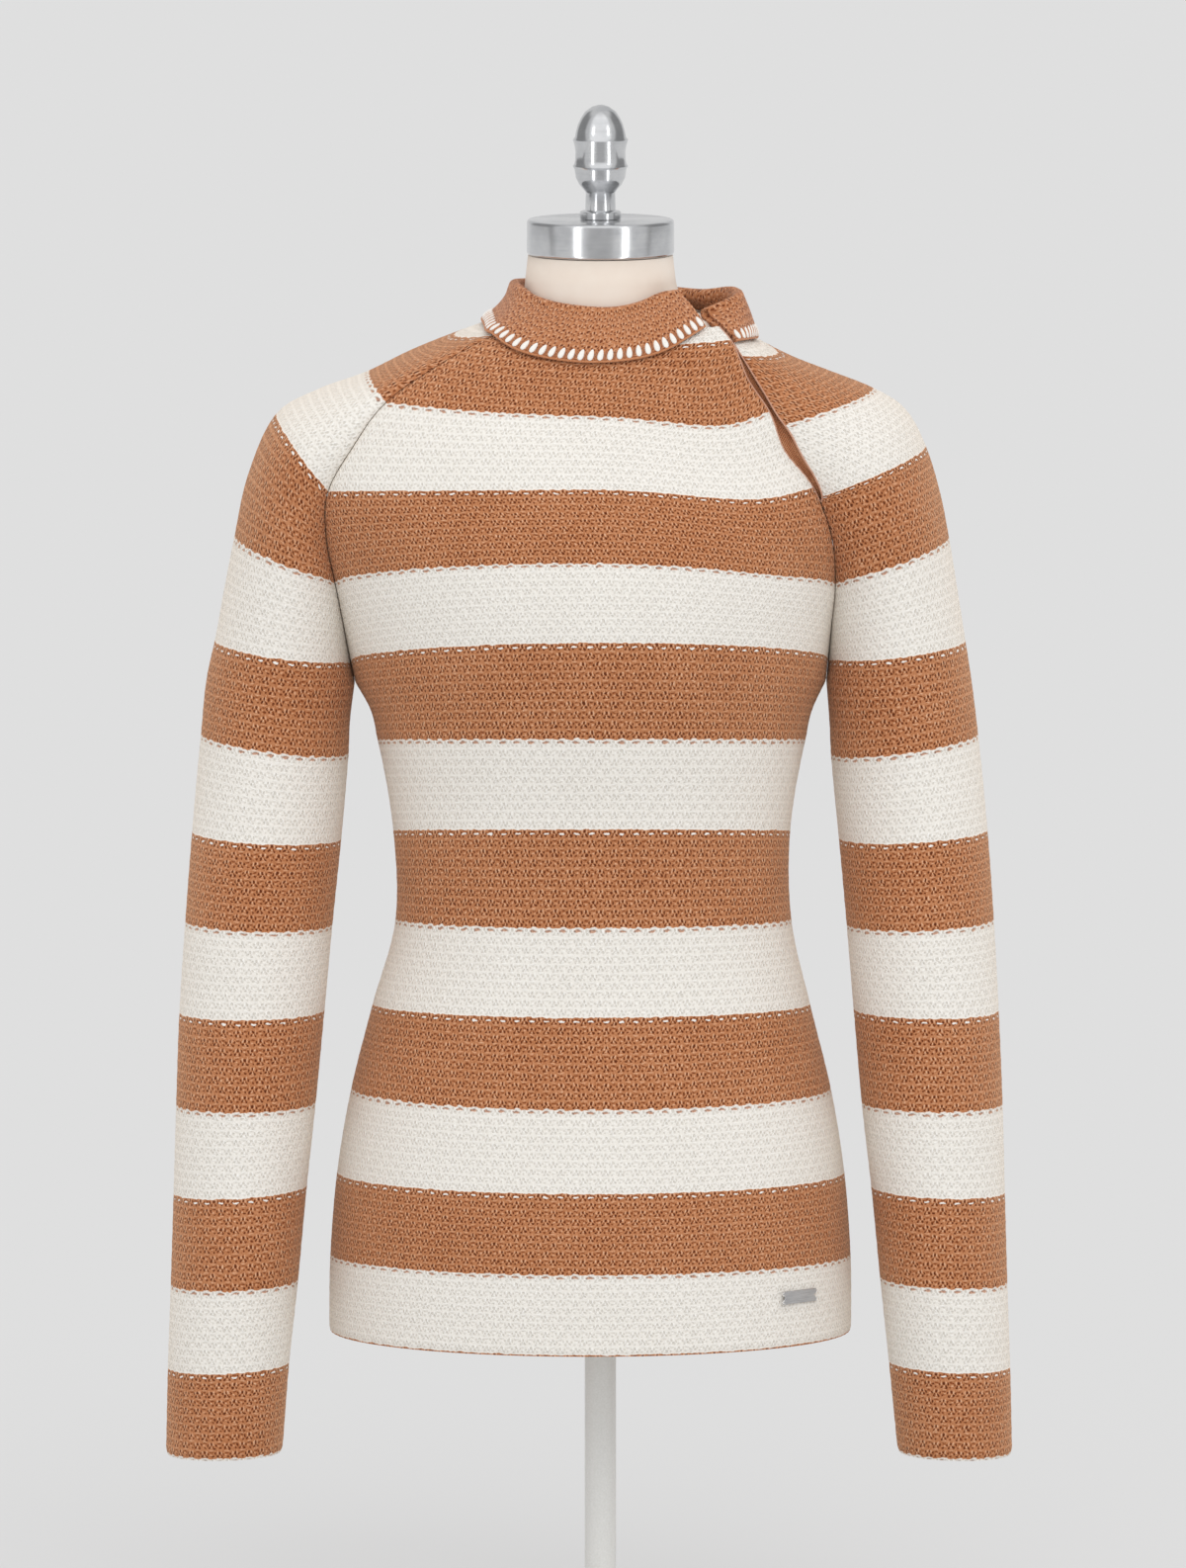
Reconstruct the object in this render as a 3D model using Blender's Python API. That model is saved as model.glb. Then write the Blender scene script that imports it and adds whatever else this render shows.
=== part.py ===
"""A striped raglan sweater with a split fold-over collar, on a limbless dress form with a stand.

Sizes are in millimetres and become metres as each mesh is made. +Z is up and the front faces -Y.
Right and left are the wearer's, so right is towards -X. The origin is the middle of the stand's
foot, on the surface that it stands on.

The cloth is laid out by its knitted courses. A course number counts the stripes down from the
neck: 0 is the top of the first dark stripe, 1 the top of the next pale one, and so on. The hem is
course 12 and the cuffs are course 13. Front, back and sleeves share each course down to the
underarm, along the raglan seams.
"""

import math

import bmesh
import bpy
import numpy as np

MM = 0.001

# Driving sizes of the cloth
WALL = 2.4  # knitted panels
COLLAR_WALL = 2.2
FACING_WALL = 1.2  # ribbed strip behind the neck opening
FACING_CLEAR = 1.2  # between that strip and the panels over it
SEAM_GAP = 0.5
MITRE_LIMIT = 0.4  # least cosine that a sharp seam is mitred by
SAG_SKEW = 2.2  # draws the front's sag towards its left seam
CLEAR = 0.4  # between a piece and what it lies on

# Courses where something begins or ends
NECK_COURSE = -0.3
OPENING_END = 2.15
UNDERARM = 4.25
HEM_COURSE = 12.0
CUFF_COURSE = 13.0

# How finely each piece is divided
OPENING_ROWS = 8
OPENING_CROWDING = 1.3  # rows lie closer together towards the neck
UPPER_ROWS = 5
BODY_ROWS = 13
SLEEVE_ROWS = 14
PANEL_COLUMNS = 16
SLEEVE_COLUMNS = 14
FORM_COLUMNS = 40

# Fold-over collar
FOLD_RADIUS = 2.4
EDGE_CLEAR = 1.0  # between the fall's edge and the yoke under it

# Facing behind the neck opening
UNDER_FRONT = 8.0
UNDER_SLEEVE = 6.0

# Dress form
NECK_TOP = 844.6
FORM_EASE = 6.0  # between the form and the cloth
SHOULDER_EASE = 1.6  # the same where the cloth hangs, on top of the shoulders
SHOULDER_SPREAD = 19.0  # degrees to each side of the shoulder line
HANG_COURSES = (-0.2, 0.15, 0.8, 1.2)  # where that smaller ease begins, holds and ends
HANG_SHARES = (0.0, 1.0, 1.0, 0.0)
FORM_BOTTOM = 218.0
LAST_RING = 8.0  # least height of a ring above the bottom
CAP_RADIUS = 44.6
CAP_HEIGHT = 21.5
CAP_ROUND = 2.4

# Stand
FOOT_RADIUS = 130.0
FOOT_HEIGHT = 10.0
FOOT_ROUND = 2.5
FOOT_BEVEL = 1.5  # round its underside
POLE_RADIUS = 9.5
FLANGE_RADIUS = 36.0
FLANGE_HEIGHT = 5.0

# Small metal plate sewn near the hem
PLATE_LENGTH = 29.0
PLATE_WIDTH = 7.8
PLATE_THICKNESS = 0.9
PLATE_NOTCH = 2.0
PLATE_COURSE = 11.35
PLATE_ALONG = 0.792
PLATE_CLEAR = 0.45  # the plate is flat and the cloth under it isn't


class Table:
    """Sizes under named columns, a row for each course, read between rows on a smooth curve."""

    def __init__(self, names, rows):
        self.names = names.split()
        self.rows = np.array(rows, float)

    def at(self, name, key):
        keys = self.rows[:, 0]
        values = self.rows[:, self.names.index(name)]
        slopes = np.gradient(values, keys)
        key = np.clip(np.asarray(key, float), keys[0], keys[-1])
        i = np.clip(np.searchsorted(keys, key) - 1, 0, len(keys) - 2)
        width = keys[i + 1] - keys[i]
        t = (key - keys[i]) / width
        rise = t * t * (3 - 2 * t)
        leave = t * (1 - t) ** 2 * width
        arrive = t * t * (t - 1) * width
        return values[i] + (values[i + 1] - values[i]) * rise + leave * slopes[i] + arrive * slopes[i + 1]


# Raglan seams on the front panel, neck to underarm
RAGLAN = Table(
    "course right_x right_z left_x left_z",
    [
        [-0.3, -46.5, 801.4, 71.5, 804.0],
        [0.0, -64.5, 798.6, 78.9, 795.9],
        [0.5, -100.5, 780.5, 88.5, 774.0],
        [1.0, -130.5, 759.2, 101.8, 754.0],
        [1.5, -149.5, 733.2, 110.9, 731.0],
        [2.0, -164.5, 705.6, 128.6, 708.0],
        [2.5, -165.5, 677.4, 139.5, 678.0],
        [3.0, -160.5, 649.0, 141.9, 648.0],
        [3.5, -155.7, 622.0, 140.0, 622.0],
        [4.0, -151.5, 597.5, 138.2, 599.0],
        [4.25, -149.0, 585.0, 137.0, 586.0],
    ],
)

# Side seams of the body, underarm to hem
SIDE = Table(
    "course right_x right_z left_x left_z y",
    [
        [4.25, -149.0, 585.0, 137.0, 586.0, 8.0],
        [4.6, -139.0, 568.0, 128.0, 568.0, 6.0],
        [5.0, -133.8, 547.9, 123.0, 547.9, 4.0],
        [6.0, -124.5, 493.0, 114.0, 493.0, 0.0],
        [7.0, -123.5, 438.6, 115.0, 438.6, -1.0],
        [8.0, -137.5, 386.7, 126.5, 386.7, 2.0],
        [9.0, -150.6, 334.7, 139.2, 334.7, 4.0],
        [10.0, -159.2, 283.4, 147.4, 283.4, 5.0],
        [11.0, -163.3, 233.0, 151.2, 233.0, 5.0],
        [12.0, -164.0, 188.0, 151.6, 188.0, 4.0],
    ],
)

# Sleeves: the line that is furthest from the body, neck to cuff
OUTER = Table(
    "course right_x right_z left_x left_z",
    [
        [-0.3, -60.5, 806.4, 81.7, 796.5],
        [0.0, -89.7, 794.4, 108.5, 783.5],
        [0.5, -115.5, 784.0, 138.3, 772.4],
        [1.0, -141.3, 771.5, 166.0, 761.5],
        [1.5, -172.0, 760.5, 184.5, 749.0],
        [2.0, -196.5, 745.5, 196.5, 726.5],
        [2.5, -212.7, 709.5, 204.9, 698.8],
        [3.0, -221.1, 671.0, 210.5, 670.4],
        [3.5, -227.3, 639.4, 215.5, 639.6],
        [4.0, -233.1, 608.0, 220.5, 608.0],
        [4.25, -236.7, 592.3, 223.0, 592.3],
        [5.0, -241.5, 550.7, 228.3, 550.8],
        [6.0, -246.9, 491.9, 234.0, 493.1],
        [7.0, -251.1, 437.4, 237.9, 438.6],
        [8.0, -254.7, 382.3, 240.9, 383.5],
        [9.0, -256.7, 326.0, 243.3, 326.6],
        [10.0, -258.3, 272.7, 244.7, 273.3],
        [11.0, -260.1, 217.0, 246.3, 218.1],
        [12.0, -261.9, 166.4, 248.1, 167.0],
        [13.0, -263.1, 115.0, 249.3, 115.0],
    ],
)

# Sleeves: the line nearest to the body, underarm to cuff
INNER = Table(
    "course right_x right_z left_x left_z",
    [
        [4.25, -149.0, 585.0, 137.0, 586.0],
        [4.6, -152.5, 562.0, 139.5, 562.0],
        [5.0, -154.2, 539.3, 141.3, 538.7],
        [6.0, -158.7, 487.7, 146.1, 488.3],
        [7.0, -164.1, 435.6, 150.9, 435.6],
        [8.0, -168.9, 384.1, 155.1, 384.7],
        [9.0, -174.3, 327.8, 160.1, 327.8],
        [10.0, -179.7, 277.5, 165.9, 276.9],
        [11.0, -185.1, 219.9, 171.3, 221.7],
        [12.0, -190.5, 170.0, 176.7, 170.6],
        [13.0, -194.7, 116.5, 182.1, 116.5],
    ],
)

# Sleeve sections: how far round the seams lie from the outer line (-90 closes the tube at the
# underarm), half the depth from front to back, and how far back the middle lies
SECTION = Table(
    "course cut_deg depth middle_y",
    [
        [-0.3, 10.0, 39.0, 2.0],
        [0.0, 5.0, 47.0, 2.0],
        [0.5, 0.0, 57.0, 3.0],
        [1.0, -6.0, 63.0, 4.0],
        [1.5, -14.0, 66.0, 5.0],
        [2.0, -24.0, 66.5, 6.0],
        [2.5, -36.0, 65.0, 7.0],
        [3.0, -50.0, 62.0, 8.0],
        [3.5, -65.0, 59.0, 8.0],
        [4.0, -81.0, 56.0, 8.0],
        [4.25, -90.0, 54.5, 8.0],
        [5.0, -90.0, 51.5, 7.0],
        [6.0, -90.0, 49.5, 4.0],
        [7.0, -90.0, 48.5, 0.0],
        [8.0, -90.0, 47.5, -4.0],
        [9.0, -90.0, 46.0, -8.0],
        [10.0, -90.0, 44.0, -12.0],
        [11.0, -90.0, 42.0, -15.0],
        [12.0, -90.0, 40.0, -17.0],
        [13.0, -90.0, 38.0, -18.0],
    ],
)

# Middle lines of front and back, neck to hem, how far each row turns at its ends, and how far the
# front's courses sag on the left, where the opening lets them drop
MIDDLE = Table(
    "course front_y front_z back_y back_z turn_deg sag",
    [
        [-0.3, -57.0, 801.5, 60.0, 812.0, 40.0, 0.0],
        [0.0, -66.0, 794.5, 69.0, 803.0, 38.0, 0.0],
        [0.5, -78.0, 774.5, 82.0, 784.0, 35.0, 4.0],
        [1.0, -89.0, 753.8, 91.0, 764.0, 32.0, 6.5],
        [1.5, -99.0, 733.5, 97.0, 740.0, 28.0, 7.0],
        [2.0, -107.0, 711.3, 100.0, 716.0, 24.0, 7.0],
        [2.5, -114.0, 690.3, 101.0, 692.0, 20.0, 4.5],
        [3.0, -119.0, 667.9, 101.0, 668.0, 15.0, 2.0],
        [3.5, -121.0, 644.5, 99.0, 645.0, 9.0, 0.5],
        [4.0, -120.0, 620.5, 96.0, 621.0, 3.0, 0.0],
        [4.25, -118.0, 606.0, 94.0, 606.0, 0.0, 0.0],
        [5.0, -108.0, 560.8, 88.0, 561.0, 0.0, 0.0],
        [6.0, -96.0, 505.0, 82.0, 505.0, 0.0, 0.0],
        [7.0, -90.5, 444.0, 82.0, 444.0, 0.0, 0.0],
        [8.0, -93.0, 390.0, 92.0, 390.0, 0.0, 0.0],
        [9.0, -100.0, 334.6, 104.0, 334.6, 0.0, 0.0],
        [10.0, -106.0, 284.6, 111.0, 284.6, 0.0, 0.0],
        [11.0, -110.0, 235.6, 113.0, 235.6, 0.0, 0.0],
        [12.0, -112.0, 187.5, 111.0, 187.5, 0.0, 0.0],
    ],
)

# Neck opening: how far the left sleeve's cut edge has moved off the front's, across and down
OPENING = Table(
    "course across down",
    [
        [-0.3, 8.6, 10.4],
        [0.0, 6.6, 9.7],
        [0.5, 11.0, 9.5],
        [0.9, 9.6, 8.5],
        [1.2, 12.0, 8.0],
        [1.6, 13.5, 7.5],
        [2.0, 5.0, 5.0],
        [2.15, 0.0, 0.0],
    ],
)

# Collar: place round the neck (0 to 1 along the front from the opening, 1 to 2 over the right
# shoulder, 2 to 3 along the back, 3 to 4 over the left shoulder), where its foot stands on the neck
# edge, then the fold's angle from straight ahead, its radius and height, how far the fall rounds
# out between its fold and its edge, and the place and course of that edge
COLLAR = Table(
    "place foot_place fold_angle fold_r fold_z crown edge_place edge_course",
    [
        [0.0, 0.09, -58.0, 55.5, 823.0, 0.8, 0.105, -0.28],
        [0.15, 0.185, -44.0, 53.0, 822.0, 0.8, 0.2, -0.11],
        [0.3, 0.315, -29.0, 52.0, 817.6, 0.8, 0.325, 0.11],
        [0.5, 0.5, -8.0, 52.0, 814.4, 0.8, 0.5, 0.255],
        [0.75, 0.75, 24.0, 52.0, 816.0, 0.4, 0.75, 0.21],
        [1.0, 1.0, 50.0, 51.5, 819.6, -1.4, 1.0, 0.01],
        [1.25, 1.25, 70.0, 51.2, 824.2, -3.0, 1.25, -0.165],
        [1.5, 1.5, 90.0, 52.0, 825.5, -3.2, 1.5, -0.205],
        [2.0, 2.0, 130.0, 56.0, 824.0, -1.0, 2.0, -0.12],
        [2.5, 2.5, 187.0, 60.0, 820.0, 0.8, 2.5, -0.05],
        [3.0, 3.0, 240.0, 70.0, 817.5, 0.8, 3.0, -0.1],
        [3.35, 3.35, 258.0, 82.0, 820.5, 0.8, 3.35, -0.155],
        [3.6, 3.6, 271.0, 83.0, 818.5, 0.8, 3.6, -0.205],
        [3.8, 3.8, 279.0, 76.0, 814.8, 0.8, 3.82, -0.24],
        [4.0, 4.0, 287.0, 66.0, 810.5, 0.8, 4.0, -0.28],
    ],
)

# Torso at the arms: how much of the sleeve's swell its end keeps, as the cloth's course goes down
ARM_SWELL = Table(
    "course keep",
    [[-0.3, 1.0], [0.8, 1.0], [1.25, 0.74], [1.7, 0.36], [2.2, 0.18], [3.0, 0.06], [4.25, 0.0]],
)

# The form's neck: height, radius, and how far out its root lies towards the neckline
NECK = [
    (NECK_TOP, 43.9, 0.0),
    (829.0, 45.6, 0.0),
    (818.0, 46.5, 0.06),
    (811.0, 46.8, 0.25),
    (806.0, 46.8, 0.6),
]

# Finial: radius and height above the cap, from its flange up to its crown
FINIAL = [
    (12.5, 0.0),
    (12.5, 3.8),
    (11.9, 4.5),
    (9.2, 5.2),
    (8.9, 15.6),
    (9.9, 17.2),
    (12.8, 20.4),
    (14.9, 24.6),
    (15.7, 29.8),
    (16.8, 31.7),
    (15.8, 33.2),
    (15.3, 35.6),
    (15.1, 40.4),
    (15.7, 44.0),
    (16.8, 47.7),
    (15.5, 49.4),
    (14.6, 53.8),
    (13.5, 57.4),
    (11.8, 61.0),
    (9.4, 64.7),
    (5.0, 67.8),
    (1.6, 68.8),
]


def unit(v):
    return v / np.maximum(np.linalg.norm(v, axis=-1, keepdims=True), 1e-9)


# --- middle surfaces of the cloth -----------------------------------------------------------


def seam_y(course, side):
    """How far back a raglan seam lies: side is -1 for the front one and 1 for the back one."""
    cut = np.radians(SECTION.at("cut_deg", course))
    return SECTION.at("middle_y", course) + side * SECTION.at("depth", course) * np.cos(cut)


def body_at(course, along, side):
    """Points of the front (side -1) or the back (side 1). A row runs from its right edge, along 0,
    to its left one, along 1. Its edges are the raglan seams and, below them, the side seams."""
    above = course <= UNDERARM
    y = np.where(above, seam_y(course, side), SIDE.at("y", course))
    edges = []
    for hand in ("right", "left"):
        x = np.where(above, RAGLAN.at(hand + "_x", course), SIDE.at(hand + "_x", course))
        z = np.where(above, RAGLAN.at(hand + "_z", course), SIDE.at(hand + "_z", course))
        edges.append((x, z))
    (right_x, right_z), (left_x, left_z) = edges
    turn = np.radians(MIDDLE.at("turn_deg", course))
    angle = math.pi - turn - (math.pi - 2 * turn) * along
    share = (np.cos(angle) / np.cos(turn) + 1) / 2
    bulge = (np.sin(angle) - np.sin(turn)) / (1 - np.sin(turn))
    name = "front" if side < 0 else "back"
    rise = MIDDLE.at(name + "_z", course) - (right_z + left_z) / 2
    z = right_z * (1 - share) + left_z * share + rise * bulge
    if side < 0:
        z = z - MIDDLE.at("sag", course) * np.sin(math.pi * np.clip(2 * share - 1, 0, 1) ** SAG_SKEW)
    x = right_x * (1 - share) + left_x * share
    return np.stack([x, y + (MIDDLE.at(name + "_y", course) - y) * bulge, z], -1)


def sleeve_at(course, along, hand):
    """Points of a sleeve. A row is an arc of an ellipse from the front seam, along 0, over the
    outer line, to the back seam, along 1. Below the underarm it is the whole ellipse."""
    above = course <= UNDERARM
    seam_x = np.where(above, RAGLAN.at(hand + "_x", course), INNER.at(hand + "_x", course))
    seam_z = np.where(above, RAGLAN.at(hand + "_z", course), INNER.at(hand + "_z", course))
    cut = np.where(above, np.radians(SECTION.at("cut_deg", course)), -math.pi / 2)
    angle = cut + (math.pi - 2 * cut) * along
    if hand == "left":
        open_here = (angle < math.pi / 2) & (course < OPENING_END)
        seam_x = seam_x + np.where(open_here, OPENING.at("across", course), 0)
        seam_z = seam_z - np.where(open_here, OPENING.at("down", course), 0)
    outer_x = OUTER.at(hand + "_x", course)
    outer_z = OUTER.at(hand + "_z", course)
    back_off = (1 - np.sin(angle)) / (1 - np.sin(cut))
    x = outer_x - (outer_x - seam_x) * back_off
    z = outer_z - (outer_z - seam_z) * back_off
    y = SECTION.at("middle_y", course) - SECTION.at("depth", course) * np.cos(angle)
    return np.stack([x, y, z], -1)


class Panel:
    """A cut panel: its middle surface, and a grid of it with the vectors to the outer face."""

    def __init__(self, surface, outward, courses, columns):
        self.surface = surface
        self.outward = outward  # 1 or -1, the side of the surface that faces out
        along = np.linspace(0, 1, columns + 1)
        self.middle = surface(courses[:, None], along)
        self.half = self.normals(courses[:, None], along) * WALL / 2

    def normals(self, course, along, step=0.02):
        down = self.surface(course + step, along) - self.surface(course - step, along)
        across = self.surface(course, along + step) - self.surface(course, along - step)
        return unit(np.cross(down, across)) * self.outward


def sew(first, second, rows):
    """Closes a seam between two panels' edges, given as (panel, column, next column). Their cut
    faces lie SEAM_GAP apart, on either side of the plane that halves the angle between them."""
    panel, column, beside = first
    line = panel.middle[rows, column].copy()
    inwards = panel.middle[rows, beside] - line
    one = unit(panel.half[rows, column])
    other = unit(second[0].half[rows, second[1]])
    shared = unit(one + other)
    across = unit(np.cross(np.gradient(line, axis=0), shared))
    across *= np.sign((across * inwards).sum(-1, keepdims=True))
    lean = np.maximum((one * shared).sum(-1, keepdims=True), MITRE_LIMIT)
    for sewn, edge, sign in ((panel, column, 1), (second[0], second[1], -1)):
        sewn.middle[rows, edge] = line + across * sign * SEAM_GAP / 2
        sewn.half[rows, edge] = shared * WALL / 2 / lean


class Garment:
    """The four panels of the sweater, sewn together."""

    def __init__(self):
        spread = np.linspace(0, 1, OPENING_ROWS + 1) ** OPENING_CROWDING
        opened = NECK_COURSE + (OPENING_END - NECK_COURSE) * spread
        yoke = np.concatenate([opened, np.linspace(OPENING_END, UNDERARM, UPPER_ROWS + 1)[1:]])
        body = np.concatenate([yoke, np.linspace(UNDERARM, HEM_COURSE, BODY_ROWS)[1:]])
        sleeve = np.concatenate([yoke, np.linspace(UNDERARM, CUFF_COURSE, SLEEVE_ROWS)[1:]])
        self.ring = OPENING_ROWS + UPPER_ROWS
        self.courses = body
        self.front = Panel(lambda c, a: body_at(c, a, -1), 1, body, PANEL_COLUMNS)
        self.back = Panel(lambda c, a: body_at(c, a, 1), -1, body, PANEL_COLUMNS)
        self.right = Panel(lambda c, a: sleeve_at(c, a, "right"), -1, sleeve, SLEEVE_COLUMNS)
        self.left = Panel(lambda c, a: sleeve_at(c, a, "left"), 1, sleeve, SLEEVE_COLUMNS)
        whole = slice(0, self.ring)
        sewn = slice(OPENING_ROWS, self.ring)
        sides = slice(self.ring + 1, None)
        sew((self.front, 0, 1), (self.right, 0, 1), whole)
        sew((self.back, 0, 1), (self.right, -1, -2), whole)
        sew((self.front, -1, -2), (self.left, 0, 1), sewn)
        sew((self.back, -1, -2), (self.left, -1, -2), whole)
        sew((self.front, 0, 1), (self.back, 0, 1), sides)
        sew((self.front, -1, -2), (self.back, -1, -2), sides)
        self.close_underarm(0, self.right, 1)
        self.close_underarm(-1, self.left, -1)

    def close_underarm(self, column, sleeve, inwards):
        """Four panels meet in one point there, and the cloth faces straight down."""
        gap = SEAM_GAP / 2
        down = np.array([0, 0, -WALL / 2])
        self.front.middle[self.ring, column] += [inwards * gap, -gap, 0]
        self.back.middle[self.ring, column] += [inwards * gap, gap, 0]
        sleeve.middle[self.ring, [0, -1]] -= [inwards * gap, 0, 0]
        for panel in (self.front, self.back):
            panel.half[self.ring, column] = down
        sleeve.half[self.ring, [0, -1]] = down

    def round_neck(self, place, course):
        """Points and outward normals of the cloth at places round the neck, numbered as COLLAR's."""
        place = np.asarray(place, float)
        course = np.broadcast_to(course, place.shape).astype(float)
        points = np.zeros(place.shape + (3,))
        normals = points.copy()
        panels = (self.front, self.right, self.back, self.left)
        for number, panel in enumerate(panels):
            here = np.clip(place.astype(int), 0, 3) == number
            share = place[here] - number
            along = 1 - share if number in (0, 3) else share
            points[here] = panel.surface(course[here], along)
            normals[here] = panel.normals(course[here], along)
        return points, normals


# --- making the solids ----------------------------------------------------------------------


def material(name, colour, roughness, metallic=0.0):
    """A Principled finish from an sRGB hex colour."""
    made = bpy.data.materials.new(name)
    made.use_nodes = True
    shader = made.node_tree.nodes["Principled BSDF"]
    srgb = [int(colour[i : i + 2], 16) / 255 for i in (1, 3, 5)]
    linear = [c / 12.92 if c <= 0.04045 else ((c + 0.055) / 1.055) ** 2.4 for c in srgb]
    shader.inputs["Base Color"].default_value = (*linear, 1)
    shader.inputs["Roughness"].default_value = roughness
    shader.inputs["Metallic"].default_value = metallic
    made.diffuse_color = (*linear, 1)
    return made


def add_solid(name, points, faces, finish, smooth_angle=50):
    """A closed mesh from points in millimetres, shaded smooth up to that angle."""
    mesh = bpy.data.meshes.new(name)
    mesh.from_pydata((np.asarray(points) * MM).tolist(), [], faces)
    shape = bmesh.new()
    shape.from_mesh(mesh)
    bmesh.ops.recalc_face_normals(shape, faces=shape.faces)
    shape.to_mesh(mesh)
    shape.free()
    mesh.materials.append(finish)
    mesh.shade_smooth()
    mesh.set_sharp_from_angle(angle=math.radians(smooth_angle))
    made = bpy.data.objects.new(name, mesh)
    bpy.context.scene.collection.objects.link(made)
    return made


def wall(name, middle, half, finish, ring_from=None):
    """A closed wall around a grid of points. Rows from ring_from on are rings, whose last point
    is their first one."""
    rows, columns = middle.shape[:2]
    ring_from = rows if ring_from is None else ring_from
    points = np.stack([middle + half, middle - half]).reshape(-1, 3)

    def at(row, column, face):
        if row >= ring_from and column == columns - 1:
            column = 0
        return (face * rows + row) * columns + column

    faces = []
    for i in range(rows - 1):
        for j in range(columns - 1):
            for k in (0, 1):
                faces.append([at(i, j, k), at(i + 1, j, k), at(i + 1, j + 1, k), at(i, j + 1, k)])
    for i in (0, rows - 1):
        for j in range(columns - 1):
            faces.append([at(i, j, 0), at(i, j + 1, 0), at(i, j + 1, 1), at(i, j, 1)])
    for i in range(min(ring_from, rows - 1)):
        for j in (0, columns - 1):
            faces.append([at(i, j, 0), at(i, j, 1), at(i + 1, j, 1), at(i + 1, j, 0)])
    faces = [list(dict.fromkeys(face)) for face in faces]
    used = sorted({corner for face in faces for corner in face})
    order = {corner: n for n, corner in enumerate(used)}
    faces = [[order[corner] for corner in face] for face in faces if len(face) > 2]
    return add_solid(name, points[used], faces, finish)


def turned(name, profile, finish, steps=32):
    """A solid turned about the Z axis, from pairs of a radius and a height."""
    angle = np.arange(steps) * math.tau / steps
    rings = [np.stack([r * np.cos(angle), r * np.sin(angle), 0 * angle + z], -1) for r, z in profile]
    return lofted(name, rings, finish, 35)


def lofted(name, rings, finish, smooth_angle=50):
    """A solid through rings of equally many points, closed flat at both ends."""
    count = len(rings[0])
    faces = [list(range(count)), [(len(rings) - 1) * count + j for j in range(count)]]
    for i in range(len(rings) - 1):
        for j in range(count):
            k = (j + 1) % count
            faces.append([i * count + j, i * count + k, (i + 1) * count + k, (i + 1) * count + j])
    return add_solid(name, np.concatenate(rings), faces, finish, smooth_angle)


# --- pieces of the sweater --------------------------------------------------------------------


def build_collar(garment, finish):
    """One strip that stands on the neck edge, folds over and falls outside. The opening parts its
    two ends."""
    quarters = (PANEL_COLUMNS, SLEEVE_COLUMNS, PANEL_COLUMNS, SLEEVE_COLUMNS)
    place = np.concatenate([n + np.arange(count) / count for n, count in enumerate(quarters)] + [[4.0]])
    foot = COLLAR.at("foot_place", place)
    neck, neck_out = garment.round_neck(foot, NECK_COURSE)
    upward = unit(neck - garment.round_neck(foot, NECK_COURSE + 0.2)[0])
    base = neck + upward * (CLEAR + SEAM_GAP / 2)
    turn = np.radians(COLLAR.at("fold_angle", place))
    outward = np.stack([-np.sin(turn), -np.cos(turn), 0 * turn], -1)
    up = np.array([0, 0, 1.0])
    fold = outward * COLLAR.at("fold_r", place)[:, None] + up * COLLAR.at("fold_z", place)[:, None]
    edge, edge_out = garment.round_neck(COLLAR.at("edge_place", place), COLLAR.at("edge_course", place))
    edge = edge + edge_out * (WALL / 2 + EDGE_CLEAR + COLLAR_WALL / 2)
    stand = fold - outward * FOLD_RADIUS
    section = [base, (base + stand) / 2]
    for degrees in (0, 45, 90, 135, 180):
        a = math.radians(degrees)
        section.append(fold - outward * FOLD_RADIUS * math.cos(a) + up * FOLD_RADIUS * math.sin(a))
    fall = section[-1]
    crown = outward * COLLAR.at("crown", place)[:, None]
    for share in (0.34, 0.68):
        section.append(fall + (edge - fall) * share + crown)
    section.append(edge)
    grid = np.stack(section)
    normals = unit(np.cross(np.gradient(grid, axis=0), np.gradient(grid, axis=1)))
    normals[0] = -neck_out
    return wall("collar", grid, normals * COLLAR_WALL / 2, finish)


def build_facing(garment, finish):
    """The ribbed strip behind the neck opening, from under the front's edge to under the sleeve."""
    rows = slice(1, OPENING_ROWS + 1)
    below = FACING_CLEAR + FACING_WALL / 2

    def under(panel, edge, beside, reach):
        first, second = (
            panel.middle[rows, k] - panel.half[rows, k] - unit(panel.half[rows, k]) * below
            for k in (edge, beside)
        )
        return [first + unit(second - first) * reach, first]

    front = under(garment.front, -1, -2, UNDER_FRONT)
    sleeve = under(garment.left, 0, 1, UNDER_SLEEVE)
    grid = np.stack(front + sleeve[::-1], 1)
    normals = unit(np.cross(np.gradient(grid, axis=0), np.gradient(grid, axis=1)))
    return wall("opening_facing", grid, normals * FACING_WALL / 2, finish)


def build_plate(garment, finish):
    """A flat notched metal plate, sewn on the front near the hem."""
    centre = garment.front.surface(PLATE_COURSE, PLATE_ALONG)
    outward = garment.front.normals(PLATE_COURSE, PLATE_ALONG)
    beside = garment.front.surface(PLATE_COURSE, PLATE_ALONG + 0.02)
    along = unit(beside - centre)
    up = np.cross(outward, along)
    x, y = PLATE_LENGTH / 2, PLATE_WIDTH / 2
    end = [(x, y), (x, PLATE_NOTCH), (x - PLATE_NOTCH, 0), (x, -PLATE_NOTCH), (x, -y)]
    outline = end + [(-a, -b) for a, b in end]
    low = centre + outward * (WALL / 2 + PLATE_CLEAR)
    flat = np.array([low + along * a + up * b for a, b in outline])
    return lofted("sewn_plate", [flat, flat + outward * PLATE_THICKNESS], finish, 30)


# --- dress form and stand -----------------------------------------------------------------------


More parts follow.
